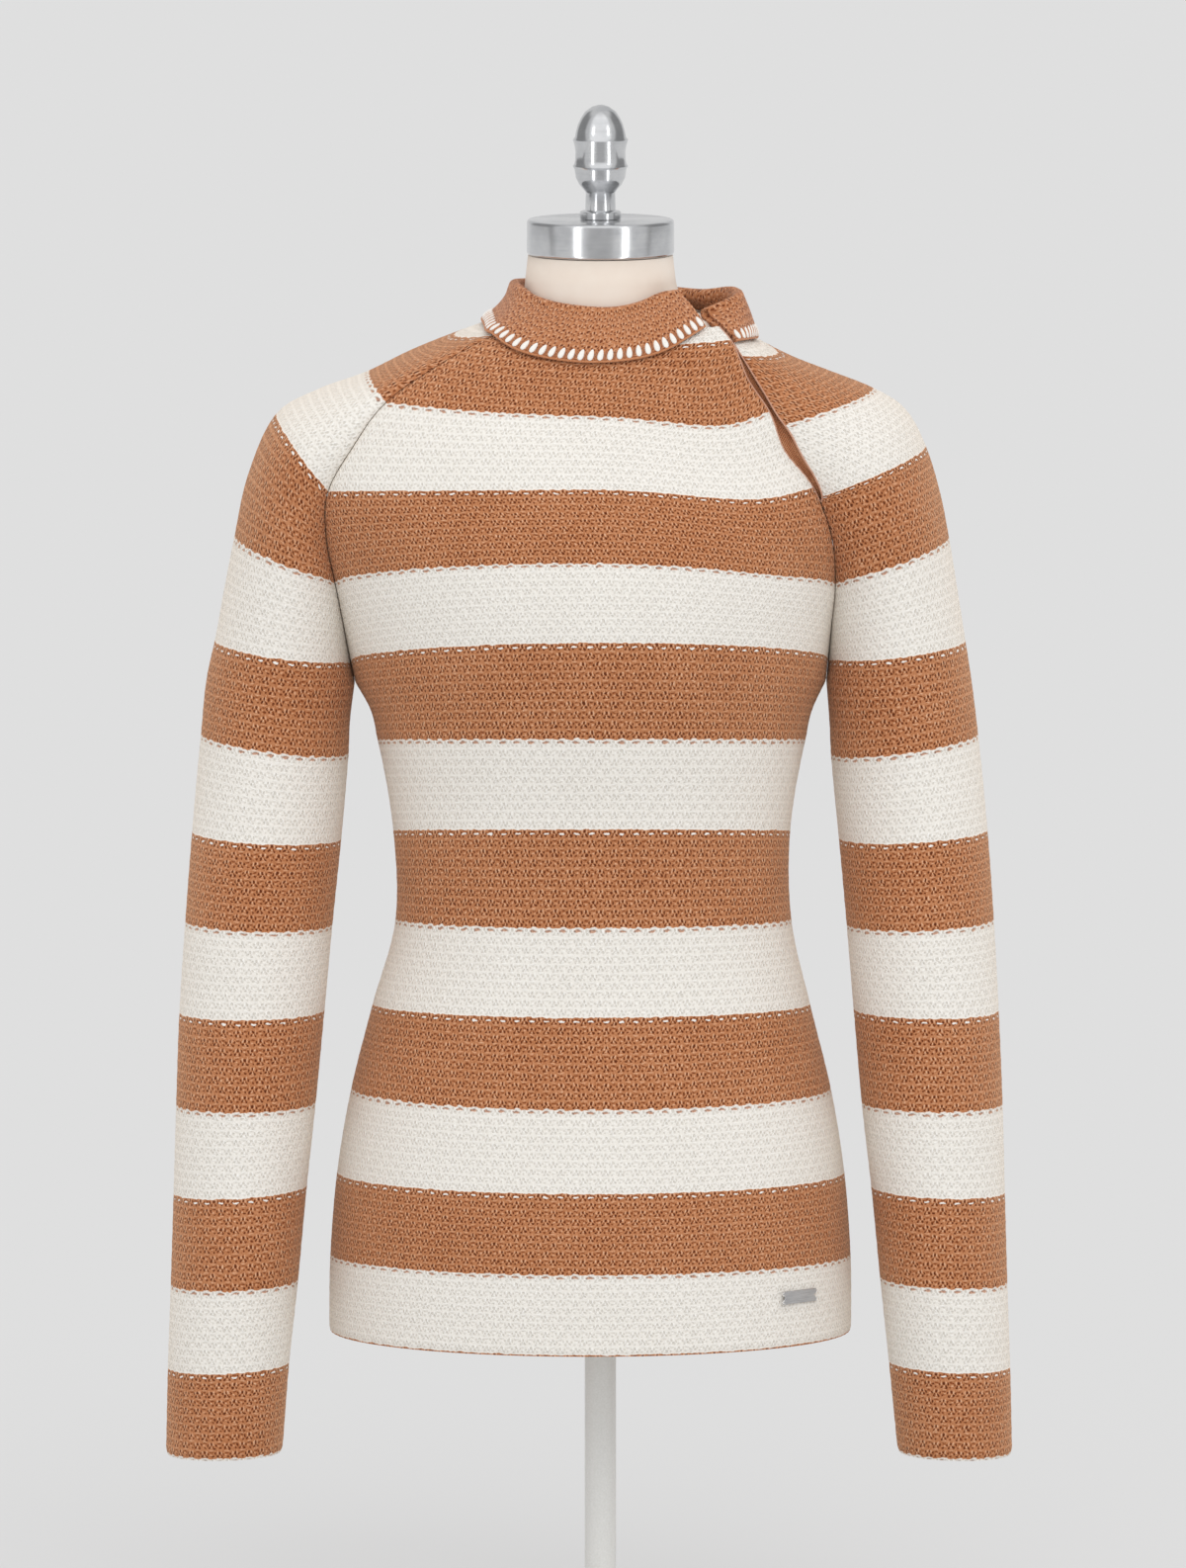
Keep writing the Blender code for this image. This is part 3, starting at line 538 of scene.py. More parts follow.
# Kinds of node that many lines use
MATH = "ShaderNodeMath"
VECTOR_MATH = "ShaderNodeVectorMath"
NOISE = "ShaderNodeTexNoise"


def node(tree, kind, inputs=(), **settings):
    """Adds a node with its settings. Its inputs get values or links, from a list in the sockets'
    own order, or from pairs with a socket's name or number."""
    made = tree.nodes.new(kind)
    for name, value in settings.items():
        setattr(made, name, value)
    for name, value in inputs.items() if isinstance(inputs, dict) else enumerate(inputs):
        if isinstance(value, bpy.types.Node):
            value = value.outputs[0]
        if isinstance(value, bpy.types.NodeSocket):
            tree.links.new(value, made.inputs[name])
        else:
            made.inputs[name].default_value = value
    return made


def finish(name, slot, **uniform):
    """A new material with its Principled shader. Uniform values sit on the shader's own sockets,
    whose names have an underscore for each space."""
    made = bpy.data.materials.new(name)
    made.use_nodes = True
    made["slot"] = slot
    shader = made.node_tree.nodes["Principled BSDF"]
    for words, value in uniform.items():
        shader.inputs[words.replace("_", " ")].default_value = value
    return made, made.node_tree, shader


def ramp(tree, factor, stops):
    """A colour for each tone, from pairs of a place and an sRGB hex colour."""
    made = node(tree, "ShaderNodeValToRGB", {"Fac": factor})
    points = made.color_ramp.elements
    while len(points) < len(stops):
        points.new(1.0)
    for point, (at, colour) in zip(points, stops):
        point.position = at
        point.color = linear(colour)
    return made


BROWN_TONES = [(0.0, "#5C280B"), (0.22, "#8C4A23"), (0.5, "#B5774F"), (0.78, "#CF9671"), (1.0, "#DFB493")]
CREAM_TONES = [(0.0, "#D4CFC6"), (0.22, "#E0DBD3"), (0.5, "#E9E5DE"), (0.78, "#F0EDE7"), (1.0, "#F5F3EF")]

# Marks of the slip stitch: what a mark is measured from, which is the bar, the hole half a cell
# away or both sides of either, then in millimetres its place across and down and its half sizes,
# and how much light it adds. The dark marks are painted shade under the slipped bars and in the
# holes, and the light ones are painted highlights on the stitches
STITCH_MARKS = [
    ("bar", 0.0, 0.0, 1.6, 0.5, -0.7),
    ("bar sides", 2.0, 0.9, 0.6, 1.1, -1.0),
    ("hole", 0.0, 0.3, 0.75, 1.15, -1.2),
    ("hole", 1.4, 2.5, 0.75, 0.9, -1.0),
    ("hole", -1.5, 2.9, 0.7, 0.85, -1.0),
    ("bar", -0.6, 2.6, 0.8, 0.75, -0.9),
    ("bar sides", 3.6, 2.0, 0.5, 0.7, -0.7),
    ("bar", 1.3, 3.9, 0.65, 0.55, -0.8),
    ("hole", -0.9, 3.8, 0.55, 0.6, -0.7),
    ("hole sides", 1.15, 0.2, 0.5, 1.6, 0.8),
    ("hole", 0.0, 2.3, 0.5, 1.0, 0.8),
    ("bar", 0.0, -1.35, 2.2, 0.5, 0.6),
    ("bar", 0.5, 1.4, 0.8, 0.6, 0.7),
]

# The same for the knit's purl side, where the loops stand proud: its dark marks are painted shade
# between the loops, and its light ones painted highlights on them
PURL_MARKS = [
    ("bar", 0.0, 0.0, 1.0, 0.7, -1.0),
    ("bar", 2.3, 1.6, 0.75, 0.8, -0.9),
    ("bar", -2.2, 1.1, 0.7, 0.7, -0.8),
    ("bar", 0.2, 2.8, 0.8, 0.6, -0.8),
    ("hole", 0.0, 0.6, 0.75, 1.0, -1.0),
    ("hole", 1.9, 2.4, 0.8, 0.65, -0.8),
    ("hole sides", 1.3, 0.2, 0.6, 1.5, 0.7),
    ("bar", 0.0, -1.4, 1.9, 0.6, 0.7),
    ("bar", 0.0, 1.5, 1.3, 0.6, 0.7),
    ("hole", 0.0, 2.6, 1.0, 0.6, 0.7),
]

# Dashes on the bars in the first row of a stripe: row in a pair of stripes, place across and down,
# half sizes, and how much cream and light they add
STRIPE_DASHES = [
    (10.0, -0.4, 0.45, 2.6, 0.85, -0.8, 0.0),
    (10.0, 0.4, -1.2, 2.3, 0.6, 0.8, 1.2),
    (0.0, 0.0, 1.35, 1.9, 0.6, 0.95, 1.4),
]

# Marks by the whip stitches, in millimetres from a stitch's foot on the collar's edge: place across
# and up, half sizes, and how much light they add
EDGE_MARKS = [(0.0, 1.9, 0.8, 0.7, -1.0), (3.05, 5.0, 1.2, 3.6, -0.35), (0.0, 0.9, 9.0, 0.6, -0.5)]

# The rib's tones are lifted a little: painted light that offsets the shade the facing lies in
RIB_TONES = [(0.0, "#7A4425"), (0.3, "#A86B45"), (0.65, "#C98F69"), (1.0, "#DFAE8C")]
WHITE_TONES = [(0.0, "#BDB6AC"), (0.4, "#E6E2DB"), (1.0, "#FBF9F5")]
BINDING_TONES = [(0.0, "#8A5C44"), (0.5, "#C09078"), (1.0, "#DDB8A2")]
CANVAS_TONES = [(0.2, "#D8C9BB"), (0.5, "#E0D2C5"), (0.9, "#E6DCD1")]
METAL_TONES = [(0.2, "#B9BBBE"), (0.8, "#D3D4D6"), (1.0, "#DADBDC")]
PLATE_TONES = [(0.2, "#B2B4B6"), (0.5, "#C8C9CB"), (0.8, "#DADBDC")]
COAT_TONES = [(0.2, "#DADAD7"), (0.8, "#E4E4E2")]

# Cotton: its specular level and sheen, its middle tone, and how much an uneven dye adds to that
COTTON_SHINE = 0.25
COTTON_SHEEN = 0.15
MIDDLE_TONE = 0.44
UNEVEN_DYE = 0.12
PATCH = 40.0  # millimetres from patch to patch of that dye

# In rows: how far above its bar a row starts, and how far above a stripe's first bar its colour does
BAR_AT = 0.35
COLOUR_EARLY = 0.2


def knit(tree, marks, wander, slack):
    """The tone of a slip-stitch knit, from its stitch map: u counts cells along a row and v counts
    rows down. Stitches stray either way by up to half the slack, in mm, and ones within the wander
    stray alike. Returns the tone, the row's number, the point from the bar's middle, and v."""
    grain = node(tree, "ShaderNodeTexCoord").outputs["Object"]
    stray = node(tree, NOISE, {"Vector": grain, "Scale": 1 / (wander * MM), "Detail": 2.0})
    stray = [stray.outputs["Color"], (0.5, 0.5, 0.5)]
    stray = node(tree, VECTOR_MATH, stray, operation="SUBTRACT")
    place = node(tree, "ShaderNodeUVMap", uv_map="knit")
    place = [stray, (slack / CELL, slack / ROW, 0), place]
    place = node(tree, VECTOR_MATH, place, operation="MULTIPLY_ADD")
    place = node(tree, "ShaderNodeSeparateXYZ", [place])
    v = place.outputs[1]
    row = node(tree, MATH, [v, BAR_AT])
    row = node(tree, MATH, [row], operation="FLOOR")
    down = node(tree, MATH, [v, row], operation="SUBTRACT")
    odd = node(tree, MATH, [row, 1.0], operation="PINGPONG")
    shifted = node(tree, MATH, [odd, 0.5, place.outputs[0]], operation="MULTIPLY_ADD")
    from_hole = node(tree, MATH, [shifted, 0.5])
    points = {}
    for name, along in (("bar", shifted), ("hole", from_hole)):
        wrapped = node(tree, MATH, [along, 0.5, -0.5], operation="WRAP")
        mirrored = node(tree, MATH, [wrapped], operation="ABSOLUTE")
        for kind, x in ((name, wrapped), (name + " sides", mirrored)):
            cell = node(tree, "ShaderNodeCombineXYZ", [x, down])
            cell = [cell, (CELL, ROW, 0)]
            points[kind] = node(tree, VECTOR_MATH, cell, operation="MULTIPLY")
    # Each mark darkens or lightens the tone: painted shade at bars and holes, painted highlights beside
    # them
    tone = 0.0
    for kind, x, y, wide, high, light in marks:
        mark = blob(tree, points[kind], x, y, wide, high)
        tone = node(tree, MATH, [mark, light, tone], operation="MULTIPLY_ADD")
    return tone, row, points["bar"], v


def fibred(tree, tone, fuzz, size=0.9):
    """A tone with the yarn's own hairs and an uneven dye added. The hairs are of a size in mm,
    which is coarser than cotton's, so that they show."""
    grain = node(tree, "ShaderNodeTexCoord").outputs["Object"]
    hair = node(tree, NOISE, {"Vector": grain, "Scale": 1 / (size * MM), "Detail": 3.0})
    patch = node(tree, NOISE, {"Vector": grain, "Scale": 1 / (PATCH * MM), "Detail": 1.0})
    hair = node(tree, MATH, [hair, fuzz, MIDDLE_TONE - fuzz / 2], operation="MULTIPLY_ADD")
    hair = node(tree, MATH, [patch, UNEVEN_DYE, hair], operation="MULTIPLY_ADD")
    return node(tree, MATH, [tone, 0.5, hair], operation="MULTIPLY_ADD")


def cover(tree, shader, colour, level, relief):
    """Gives a shader its colour, and a relief in mm that stands up where the level is high."""
    tree.links.new(colour, shader.inputs["Base Color"])
    raised = node(tree, "ShaderNodeBump", {"Height": level, "Distance": relief * MM, "Strength": 1.0})
    tree.links.new(raised.outputs[0], shader.inputs["Normal"])


def blob(tree, points, x, y, wide, high, blur=0.35):
    """1 inside an ellipse, in millimetres from the points' own middle, and 0 outside."""
    away = [points, (1 / wide, 1 / high, 0), (-x / wide, -y / high, 0)]
    away = node(tree, VECTOR_MATH, away, operation="MULTIPLY_ADD")
    away = node(tree, VECTOR_MATH, [away], operation="LENGTH").outputs["Value"]
    sizes = {"Value": away, "From Min": 1.15, "From Max": blur}
    return node(tree, "ShaderNodeMapRange", sizes, interpolation_type="SMOOTHSTEP")


def striped_knit():
    """Slip-stitch cotton knit, in courses of brown and cream: matt, with painted shade in small dark
    bars under the slipped yarns that lie across and in the holes, painted highlights on the stitches
    beside them, and a broken line where colours change."""
    made, tree, shader = finish(
        "striped_slip_stitch_cotton",
        "cream_knit",
        Roughness=0.92,
        Specular_IOR_Level=COTTON_SHINE,
        Sheen_Weight=0.35,
        Sheen_Tint=linear("#FFDDB8"),
    )
    tone, row, at_bar, v = knit(tree, STITCH_MARKS, 3.2, 2.3)
    pair = float(2 * ROWS_IN_COURSE)
    course = node(tree, MATH, [v, COLOUR_EARLY])
    course = node(tree, MATH, [course, pair], operation="FLOORED_MODULO")
    cream = node(tree, MATH, [course, ROWS_IN_COURSE - 0.001], operation="GREATER_THAN")
    row = node(tree, MATH, [row, pair], operation="FLOORED_MODULO")
    for first, x, y, wide, high, paler, lighter in STRIPE_DASHES:
        here = node(tree, MATH, [row, first, 0.5], operation="COMPARE")
        dash = blob(tree, at_bar, x, y, wide, high, 0.6)
        dash = node(tree, MATH, [dash, here], operation="MULTIPLY")
        cream = node(tree, MATH, [dash, paler, cream], operation="MULTIPLY_ADD")
        tone = node(tree, MATH, [dash, lighter, tone], operation="MULTIPLY_ADD")
    cream = node(tree, "ShaderNodeClamp", [cream])
    level = fibred(tree, tone, 0.75)
    tones = {0: cream, 6: ramp(tree, level, BROWN_TONES), 7: ramp(tree, level, CREAM_TONES)}
    colour = node(tree, "ShaderNodeMix", tones, data_type="RGBA").outputs[2]
    cover(tree, shader, colour, level, 0.5)
    return made


def purl_knit():
    """The same brown cotton knit, seen on its back: matt, loose, with painted shade in the small oval
    gaps between loops that lie any way, and painted highlights on the loops. Dark dots lie under the
    whip stitches, with shade between them and along the edge's roll."""
    made, tree, shader = finish(
        "purl_side_brown_cotton",
        "brown_knit",
        Roughness=0.93,
        Specular_IOR_Level=COTTON_SHINE,
        Sheen_Weight=COTTON_SHEEN,
    )
    tone = knit(tree, PURL_MARKS, 3.0, 3.2)[0]
    edge = node(tree, "ShaderNodeUVMap", uv_map="edge")
    edge = node(tree, "ShaderNodeSeparateXYZ", [edge])
    across = node(tree, MATH, [edge.outputs[0], 0.5, -0.5], operation="WRAP")
    spot = node(tree, "ShaderNodeCombineXYZ", [across, edge.outputs[1]])
    spot = node(tree, VECTOR_MATH, [spot, (WHIP_PITCH, 1, 0)], operation="MULTIPLY")
    for x, y, wide, high, light in EDGE_MARKS:
        dot = blob(tree, spot, x, y, wide, high)
        tone = node(tree, MATH, [dot, light, tone], operation="MULTIPLY_ADD")
    level = fibred(tree, tone, 0.45)
    cover(tree, shader, ramp(tree, level, BROWN_TONES).outputs[0], level, 0.7)
    return made


def ribbed_knit():
    """Brown cotton rib: matt, with fine even ribs and painted shade in the grooves between them. Its
    tones are lifted a little, painted light that offsets the shade the facing lies in.
    """
    made, tree, shader = finish(
        "ribbed_brown_cotton", "brown_knit", Roughness=0.93, Specular_IOR_Level=COTTON_SHINE
    )
    rib = node(tree, "ShaderNodeUVMap", uv_map="knit")
    rib = node(tree, "ShaderNodeSeparateXYZ", [rib])
    tone = 0.0
    # The wave across the ribs is painted shade in their grooves, and the one along them marks the knots
    for way, strength in ((0, 0.5), (1, 0.15)):
        wave = node(tree, MATH, [rib.outputs[way], math.tau], operation="MULTIPLY")
        wave = node(tree, MATH, [wave], operation="COSINE")
        tone = node(tree, MATH, [wave, strength, tone], operation="MULTIPLY_ADD")
    level = fibred(tree, tone, 0.4)
    cover(tree, shader, ramp(tree, level, RIB_TONES).outputs[0], level, 0.4)
    return made


def yarn(name, slot, tones):
    """Plied cotton yarn: matt, with short fibres and a faint mottle of light and dark."""
    made, tree, shader = finish(
        name, slot, Roughness=0.9, Specular_IOR_Level=COTTON_SHINE, Sheen_Weight=COTTON_SHEEN
    )
    level = fibred(tree, 0.1, 0.7, 0.7)
    cover(tree, shader, ramp(tree, level, tones).outputs[0], level, 0.35)
    return made


def sized_canvas():
    """Fine cotton canvas, sized and sanded on the form: matt, even, with a barely seen weave."""
    made, tree, shader = finish("sized_canvas", "form_canvas", Roughness=0.8, Specular_IOR_Level=0.3)
    grain = node(tree, "ShaderNodeTexCoord").outputs["Object"]
    # Threads of such canvas lie 0.5 mm apart, and waves at a scale of 1 lie 0.314 apart
    waves = {"Vector": grain, "Scale": 0.314 / (0.5 * MM), "Distortion": 1.5, "Detail": 1.0}
    threads = [node(tree, "ShaderNodeTexWave", waves, bands_direction=way) for way in ("X", "Z")]
    weave = node(tree, MATH, [threads[0], threads[1]], operation="MULTIPLY")
    cloud = node(tree, NOISE, {"Vector": grain, "Scale": 1 / (30 * MM), "Detail": 3.0})
    level = node(tree, MATH, [weave, 0.25, cloud], operation="MULTIPLY_ADD")
    cover(tree, shader, ramp(tree, level, CANVAS_TONES).outputs[0], level, 0.08)
    return made


def turned_aluminium(name, roughness, brushed):
    """Aluminium turned on a lathe: fine rings round the axis draw light out along it, more so where
    it is brushed and less where it is polished."""
    made, tree, shader = finish(
        name,
        "brushed_aluminium",
        Metallic=1.0,
        Roughness=roughness,
        Anisotropic=brushed,
        Anisotropic_Rotation=0.25,
    )
    round_axis = node(tree, "ShaderNodeTangent", direction_type="RADIAL", axis="Z")
    tree.links.new(round_axis.outputs[0], shader.inputs["Tangent"])
    grain = node(tree, "ShaderNodeTexCoord").outputs["Object"]
    # Tool marks 0.3 mm apart, and 25 mm long round the axis
    long, apart = 1 / (25 * MM), 1 / (0.3 * MM)
    rings = node(tree, "ShaderNodeMapping", {"Vector": grain, "Scale": (long, long, apart)})
    rings = node(tree, NOISE, {"Vector": rings, "Scale": 1.0, "Detail": 2.0})
    cloud = node(tree, NOISE, {"Vector": grain, "Scale": 1 / (12 * MM), "Detail": 2.0})
    level = node(tree, MATH, [rings, 0.5, cloud], operation="MULTIPLY_ADD")
    cover(tree, shader, ramp(tree, level, METAL_TONES).outputs[0], rings, 0.01)
    return made


def stamped_plate():
    """Thin stamped metal, tumbled dull: grey with faint scratches."""
    made, tree, shader = finish("stamped_aluminium", "brushed_aluminium", Metallic=1.0, Roughness=0.42)
    grain = node(tree, "ShaderNodeTexCoord").outputs["Object"]
    # Scratches 0.4 mm apart, and 8.3 mm long along the plate
    scratch = node(tree, "ShaderNodeMapping", {"Vector": grain, "Scale": (120, 120, 1 / (0.4 * MM))})
    scratch = node(tree, NOISE, {"Vector": scratch, "Scale": 1.0, "Detail": 3.0})
    cover(tree, shader, ramp(tree, scratch, PLATE_TONES).outputs[0], scratch, 0.03)
    return made


def coated_steel():
    """Steel under a pale satin powder coat: an even fine orange peel."""
    made, tree, shader = finish("powder_coated_steel", "pale_painted_steel", Roughness=0.5)
    grain = node(tree, "ShaderNodeTexCoord").outputs["Object"]
    # Orange peel of a powder coat, 1.2 mm from dimple to dimple
    peel = node(tree, NOISE, {"Vector": grain, "Scale": 1 / (1.2 * MM), "Detail": 1.0})
    cover(tree, shader, ramp(tree, peel, COAT_TONES).outputs[0], peel, 0.03)
    return made


def matt_floor():
    """A matt floor of opal sheet, lit from below too, so that shadows on it stay faint."""
    return finish(
        "opal_studio_floor",
        "",
        Roughness=1.0,
        Specular_IOR_Level=0.0,
        Base_Color=linear("#898989"),
        Emission_Color=linear("#FFFFFF"),
        Emission_Strength=FLOOR_GLOW,
    )[0]


# --- meshes -----------------------------------------------------------------------------------


def quads(ids):
    """Faces between neighbours in a grid of point numbers."""
    return np.stack([ids[:-1, :-1], ids[1:, :-1], ids[1:, 1:], ids[:-1, 1:]], -1).reshape(-1, 4).tolist()


def closed(name, points, faces, material, stands_for=(), maps=None, same=None, smooth_angle=60):
    """A finished piece from points in millimetres. same gives for each point the one that it is
    merged with, and maps gives each point its place on named stitch maps."""
    corners = np.concatenate(faces)
    same = np.arange(len(points)) if same is None else same
    used, corner_points = np.unique(same[corners], return_inverse=True)
    ends = np.cumsum([len(face) for face in faces])[:-1]
    mesh = bpy.data.meshes.new(name)
    mesh.from_pydata(
        (points[used] * MM).tolist(), [], [part.tolist() for part in np.split(corner_points, ends)]
    )
    for label, place in (maps or {}).items():
        mesh.uv_layers.new(name=label).data.foreach_set("uv", place[corners].ravel())
    shape = bmesh.new()
    shape.from_mesh(mesh)
    bmesh.ops.recalc_face_normals(shape, faces=shape.faces)
    shape.to_mesh(mesh)
    shape.free()
    return placed(name, mesh, material, stands_for, smooth_angle)


def added(name, data):
    """An object in the scene."""
    made = bpy.data.objects.new(name, data)
    bpy.context.scene.collection.objects.link(made)
    return made


def placed(name, mesh, material, stands_for=(), smooth_angle=60):
    """An object of a mesh, with its finish, on the body of the part."""
    mesh.name = name
    mesh.materials.clear()
    mesh.materials.append(material)
    mesh.shade_smooth()
    mesh.set_sharp_from_angle(angle=math.radians(smooth_angle))
    made = added(name, mesh)
    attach(made, "root")
    if stands_for:
        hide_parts(*stands_for)
    return made


def spread(grid, rows, columns):
    """A grid of vectors read between its rows and columns, at fractions of their numbers."""
    for axis, at in ((0, rows), (1, columns)):
        low = np.clip(at.astype(int), 0, grid.shape[axis] - 2)
        share = (at - low).reshape([-1 if k == axis else 1 for k in range(3)])
        grid = np.take(grid, low, axis) * (1 - share) + np.take(grid, low + 1, axis) * share
    return grid


def lengths(points, axis):
    """How far along a grid each point lies, from its first row or column."""
    steps = np.linalg.norm(np.diff(points, axis=axis), axis=-1)
    return np.insert(np.cumsum(steps, axis=axis), 0, 0, axis=axis)


def steps_of(count, step):
    """Every step-th number below count, and the last one."""
    return np.unique([*range(0, count, step), count - 1])


def cloth(name, outer, inner, step, material, stands_for, maps, ring=None):
    """A closed wall of cloth. Its outer face is a fine grid, and its inner face only has every
    step-th row and column. Rows from ring on are rings, whose last point is their first one."""
    rows, columns = outer.shape[:2]
    row_marks, column_marks = steps_of(rows, step), steps_of(columns, step)
    if ring is None:
        ring = rows
    else:
        row_marks = np.unique([*row_marks, ring])
    cut = np.ix_(row_marks, column_marks)
    outer_ids = np.arange(rows * columns).reshape(rows, columns)
    inner_ids = outer_ids.size + np.arange(len(row_marks) * len(column_marks)).reshape(len(row_marks), -1)
    same = np.arange(outer_ids.size + inner_ids.size)
    same[outer_ids[ring:, -1]] = outer_ids[ring:, 0]
    ringed = row_marks >= ring
    same[inner_ids[ringed, -1]] = inner_ids[ringed, 0]
    faces = quads(outer_ids) + quads(inner_ids)
    for i in (0, -1):
        for k, (a, b) in enumerate(zip(column_marks, column_marks[1:])):
            faces.append([*outer_ids[i, a : b + 1], inner_ids[i, k + 1], inner_ids[i, k]])
    for j in (0, -1):
        for k, (a, b) in enumerate(zip(row_marks, row_marks[1:])):
            if a < ring:
                faces.append([*outer_ids[a : b + 1, j], inner_ids[k + 1, j], inner_ids[k, j]])
    points = np.concatenate([outer.reshape(-1, 3), inner[cut].reshape(-1, 3)])
    maps = {
        label: np.concatenate([place.reshape(-1, 2), place[cut].reshape(-1, 2)])
        for label, place in maps.items()
    }
    return closed(name, points, faces, material, stands_for, maps, same)


# --- made by node trees: yarn along a line, and stitches in a row -----------------------------


def start_tree(name, sizes):
    """A Geometry Nodes tree with named inputs, and its input node."""
    tree = bpy.data.node_groups.new(name, "GeometryNodeTree")
    for way in ("INPUT", "OUTPUT"):
        tree.interface.new_socket("Geometry", in_out=way, socket_type="NodeSocketGeometry")
    for label, kind in sizes.items():
        tree.interface.new_socket(label, in_out="INPUT", socket_type="NodeSocket" + kind)
    return tree, node(tree, "NodeGroupInput")


def end_tree(tree, geometry, given):
    """Realizes the tree's instances, shades them smooth and gives them their finish."""
    whole = node(tree, "GeometryNodeRealizeInstances", [geometry])
    smooth = node(tree, "GeometryNodeSetShadeSmooth", [whole])
    done = node(tree, "GeometryNodeSetMaterial", {0: smooth, "Material": given.outputs["Finish"]})
    node(tree, "NodeGroupOutput", [done])
    return tree


def yarn_tree():
    """A round yarn along every line of a mesh."""
    tree, given = start_tree("yarn_along_a_line", {"Radius": "Float", "Finish": "Material"})
    line = node(tree, "GeometryNodeMeshToCurve", [given.outputs["Geometry"]])
    sizes = {"Resolution": 8, "Radius": given.outputs["Radius"]}
    section = node(tree, "GeometryNodeCurvePrimitiveCircle", sizes)
    tube = node(tree, "GeometryNodeCurveToMesh", {0: line, 1: section, "Fill Caps": True})
    return end_tree(tree, tube, given)


def stitch_tree():
    """A grain of yarn on every point, tapered towards its top, lying the way the cloth runs."""
    sizes = {"Width": "Float", "Height": "Float", "Thickness": "Float", "Taper": "Float"}
    tree, given = start_tree("row_of_stitches", {**sizes, "Finish": "Material"})
    ball = node(tree, "GeometryNodeMeshUVSphere", {"Segments": 12, "Rings": 8, "Radius": 0.5})
    place = node(tree, "GeometryNodeInputPosition")
    height = node(tree, "ShaderNodeSeparateXYZ", [place]).outputs[2]
    narrow = node(tree, MATH, [height, given.outputs["Taper"]], operation="MULTIPLY")
    narrow = node(tree, MATH, [1.0, narrow], operation="SUBTRACT")
    both = node(tree, "ShaderNodeCombineXYZ", [narrow, narrow, 1.0])
    size = [given.outputs[label] for label in ("Width", "Thickness", "Height")]
    size = node(tree, "ShaderNodeCombineXYZ", size)
    shape = node(tree, VECTOR_MATH, [place, both], operation="MULTIPLY")
    shape = node(tree, VECTOR_MATH, [shape, size], operation="MULTIPLY")
    grain = node(tree, "GeometryNodeSetPosition", {0: ball, "Position": shape})
    heading, facing = (
        node(tree, "GeometryNodeInputNamedAttribute", {"Name": name}, data_type="FLOAT_VECTOR")
        for name in ("heading", "facing")
    )
    turn = node(tree, "FunctionNodeAlignRotationToVector", {"Vector": heading}, axis="Z")
    turn = node(
        tree,
        "FunctionNodeAlignRotationToVector",
        {"Rotation": turn, "Vector": facing},
        axis="Y",
        pivot_axis="Z",
    )
    row = {"Points": given.outputs["Geometry"], "Instance": grain, "Rotation": turn}
    laid = node(tree, "GeometryNodeInstanceOnPoints", row)
    return end_tree(tree, laid, given)


def grown(name, tree, points, edges, attributes, material, **sizes):
    """Runs a tree on points and edges in millimetres, and keeps what it makes as a plain mesh. Its
    sizes are in millimetres too, apart from the taper, which is a share."""
    seed = bpy.data.meshes.new(name + "_seed")
    seed.from_pydata((np.asarray(points) * MM).tolist(), edges, [])
    for label, vectors in attributes.items():
        layer = seed.attributes.new(label, "FLOAT_VECTOR", "POINT")
        layer.data.foreach_set("vector", np.asarray(vectors, float).ravel())
    holder = added(name + "_seed", seed)
    modifier = holder.modifiers.new("grow", "NODES")
    modifier.node_group = tree
    values = {label: size if label == "Taper" else size * MM for label, size in sizes.items()}
    values["Finish"] = material
    for socket in tree.interface.items_tree:
        if socket.in_out == "INPUT" and socket.name in values:
            modifier[socket.identifier] = values[socket.name]
    graph = bpy.context.evaluated_depsgraph_get()
    mesh = bpy.data.meshes.new_from_object(holder.evaluated_get(graph), depsgraph=graph)
    bpy.data.objects.remove(holder)
    bpy.data.meshes.remove(seed)
    return placed(name, mesh, material)


def chain(count, start=0):
    """Edges that join points in a row."""
    return [(start + i, start + i + 1) for i in range(count - 1)]


# --- the sweater --------------------------------------------------------------------------------


def knitted_panel(name, panel, columns, ring, material):
    """One panel of the sweater with its stitches in relief. Returns the piece, its middle surface
    and its outer face."""
    rows = round((panel.courses[-1] - NECK_COURSE) * FINE_ROWS) + 1
    courses = NECK_COURSE + np.arange(rows) / FINE_ROWS
    along = np.linspace(0, 1, columns + 1)
    # What sewing moved, carried over to the fine grid
    coarse_columns = panel.middle.shape[1]
    drift = panel.middle - panel.surface(panel.courses[:, None], np.linspace(0, 1, coarse_columns))
    at_rows = np.interp(courses, panel.courses, np.arange(len(panel.courses)))
    at_columns = along * (coarse_columns - 1)
    middle = panel.surface(courses[:, None], along) + spread(drift, at_rows, at_columns)
    half = spread(panel.half, at_rows, at_columns)
    across = lengths(middle, 1)
    centre = across[:, columns // 2 : columns // 2 + 1]
    u, v = (across - centre) / CELL, np.broadcast_to(courses[:, None] * ROWS_IN_COURSE, across.shape)
    row = (0.5 + 0.5 * np.cos(math.tau * v)) ** 2
    stitch = np.cos(math.tau * u) * np.cos(math.pi * v)
    relief = row * (STITCH_SWELL * np.clip(-stitch, 0, 1) - BAR_DEPTH * np.clip(stitch, 0, 1))
    from_side = np.minimum(across, across[:, -1:] - across)
    if ring is not None:
        from_side[ring:] = np.inf  # a ring has no seam
    sunk = SEAM_DEPTH * np.exp(-((from_side / SEAM_REACH) ** 2))
    from_end = (courses[-1] - courses)[:, None] * ROW * ROWS_IN_COURSE
    rolled = END_DEPTH * np.exp(-((from_end / END_REACH) ** 2))
    outer = middle + half + unit(half) * (relief - sunk - rolled)[..., None]
    maps = {"knit": np.stack([u, v], -1)}
    made = cloth("knitted_" + name, outer, middle - half, INNER_STEP, material, (name,), maps, ring)
    return made, middle, outer


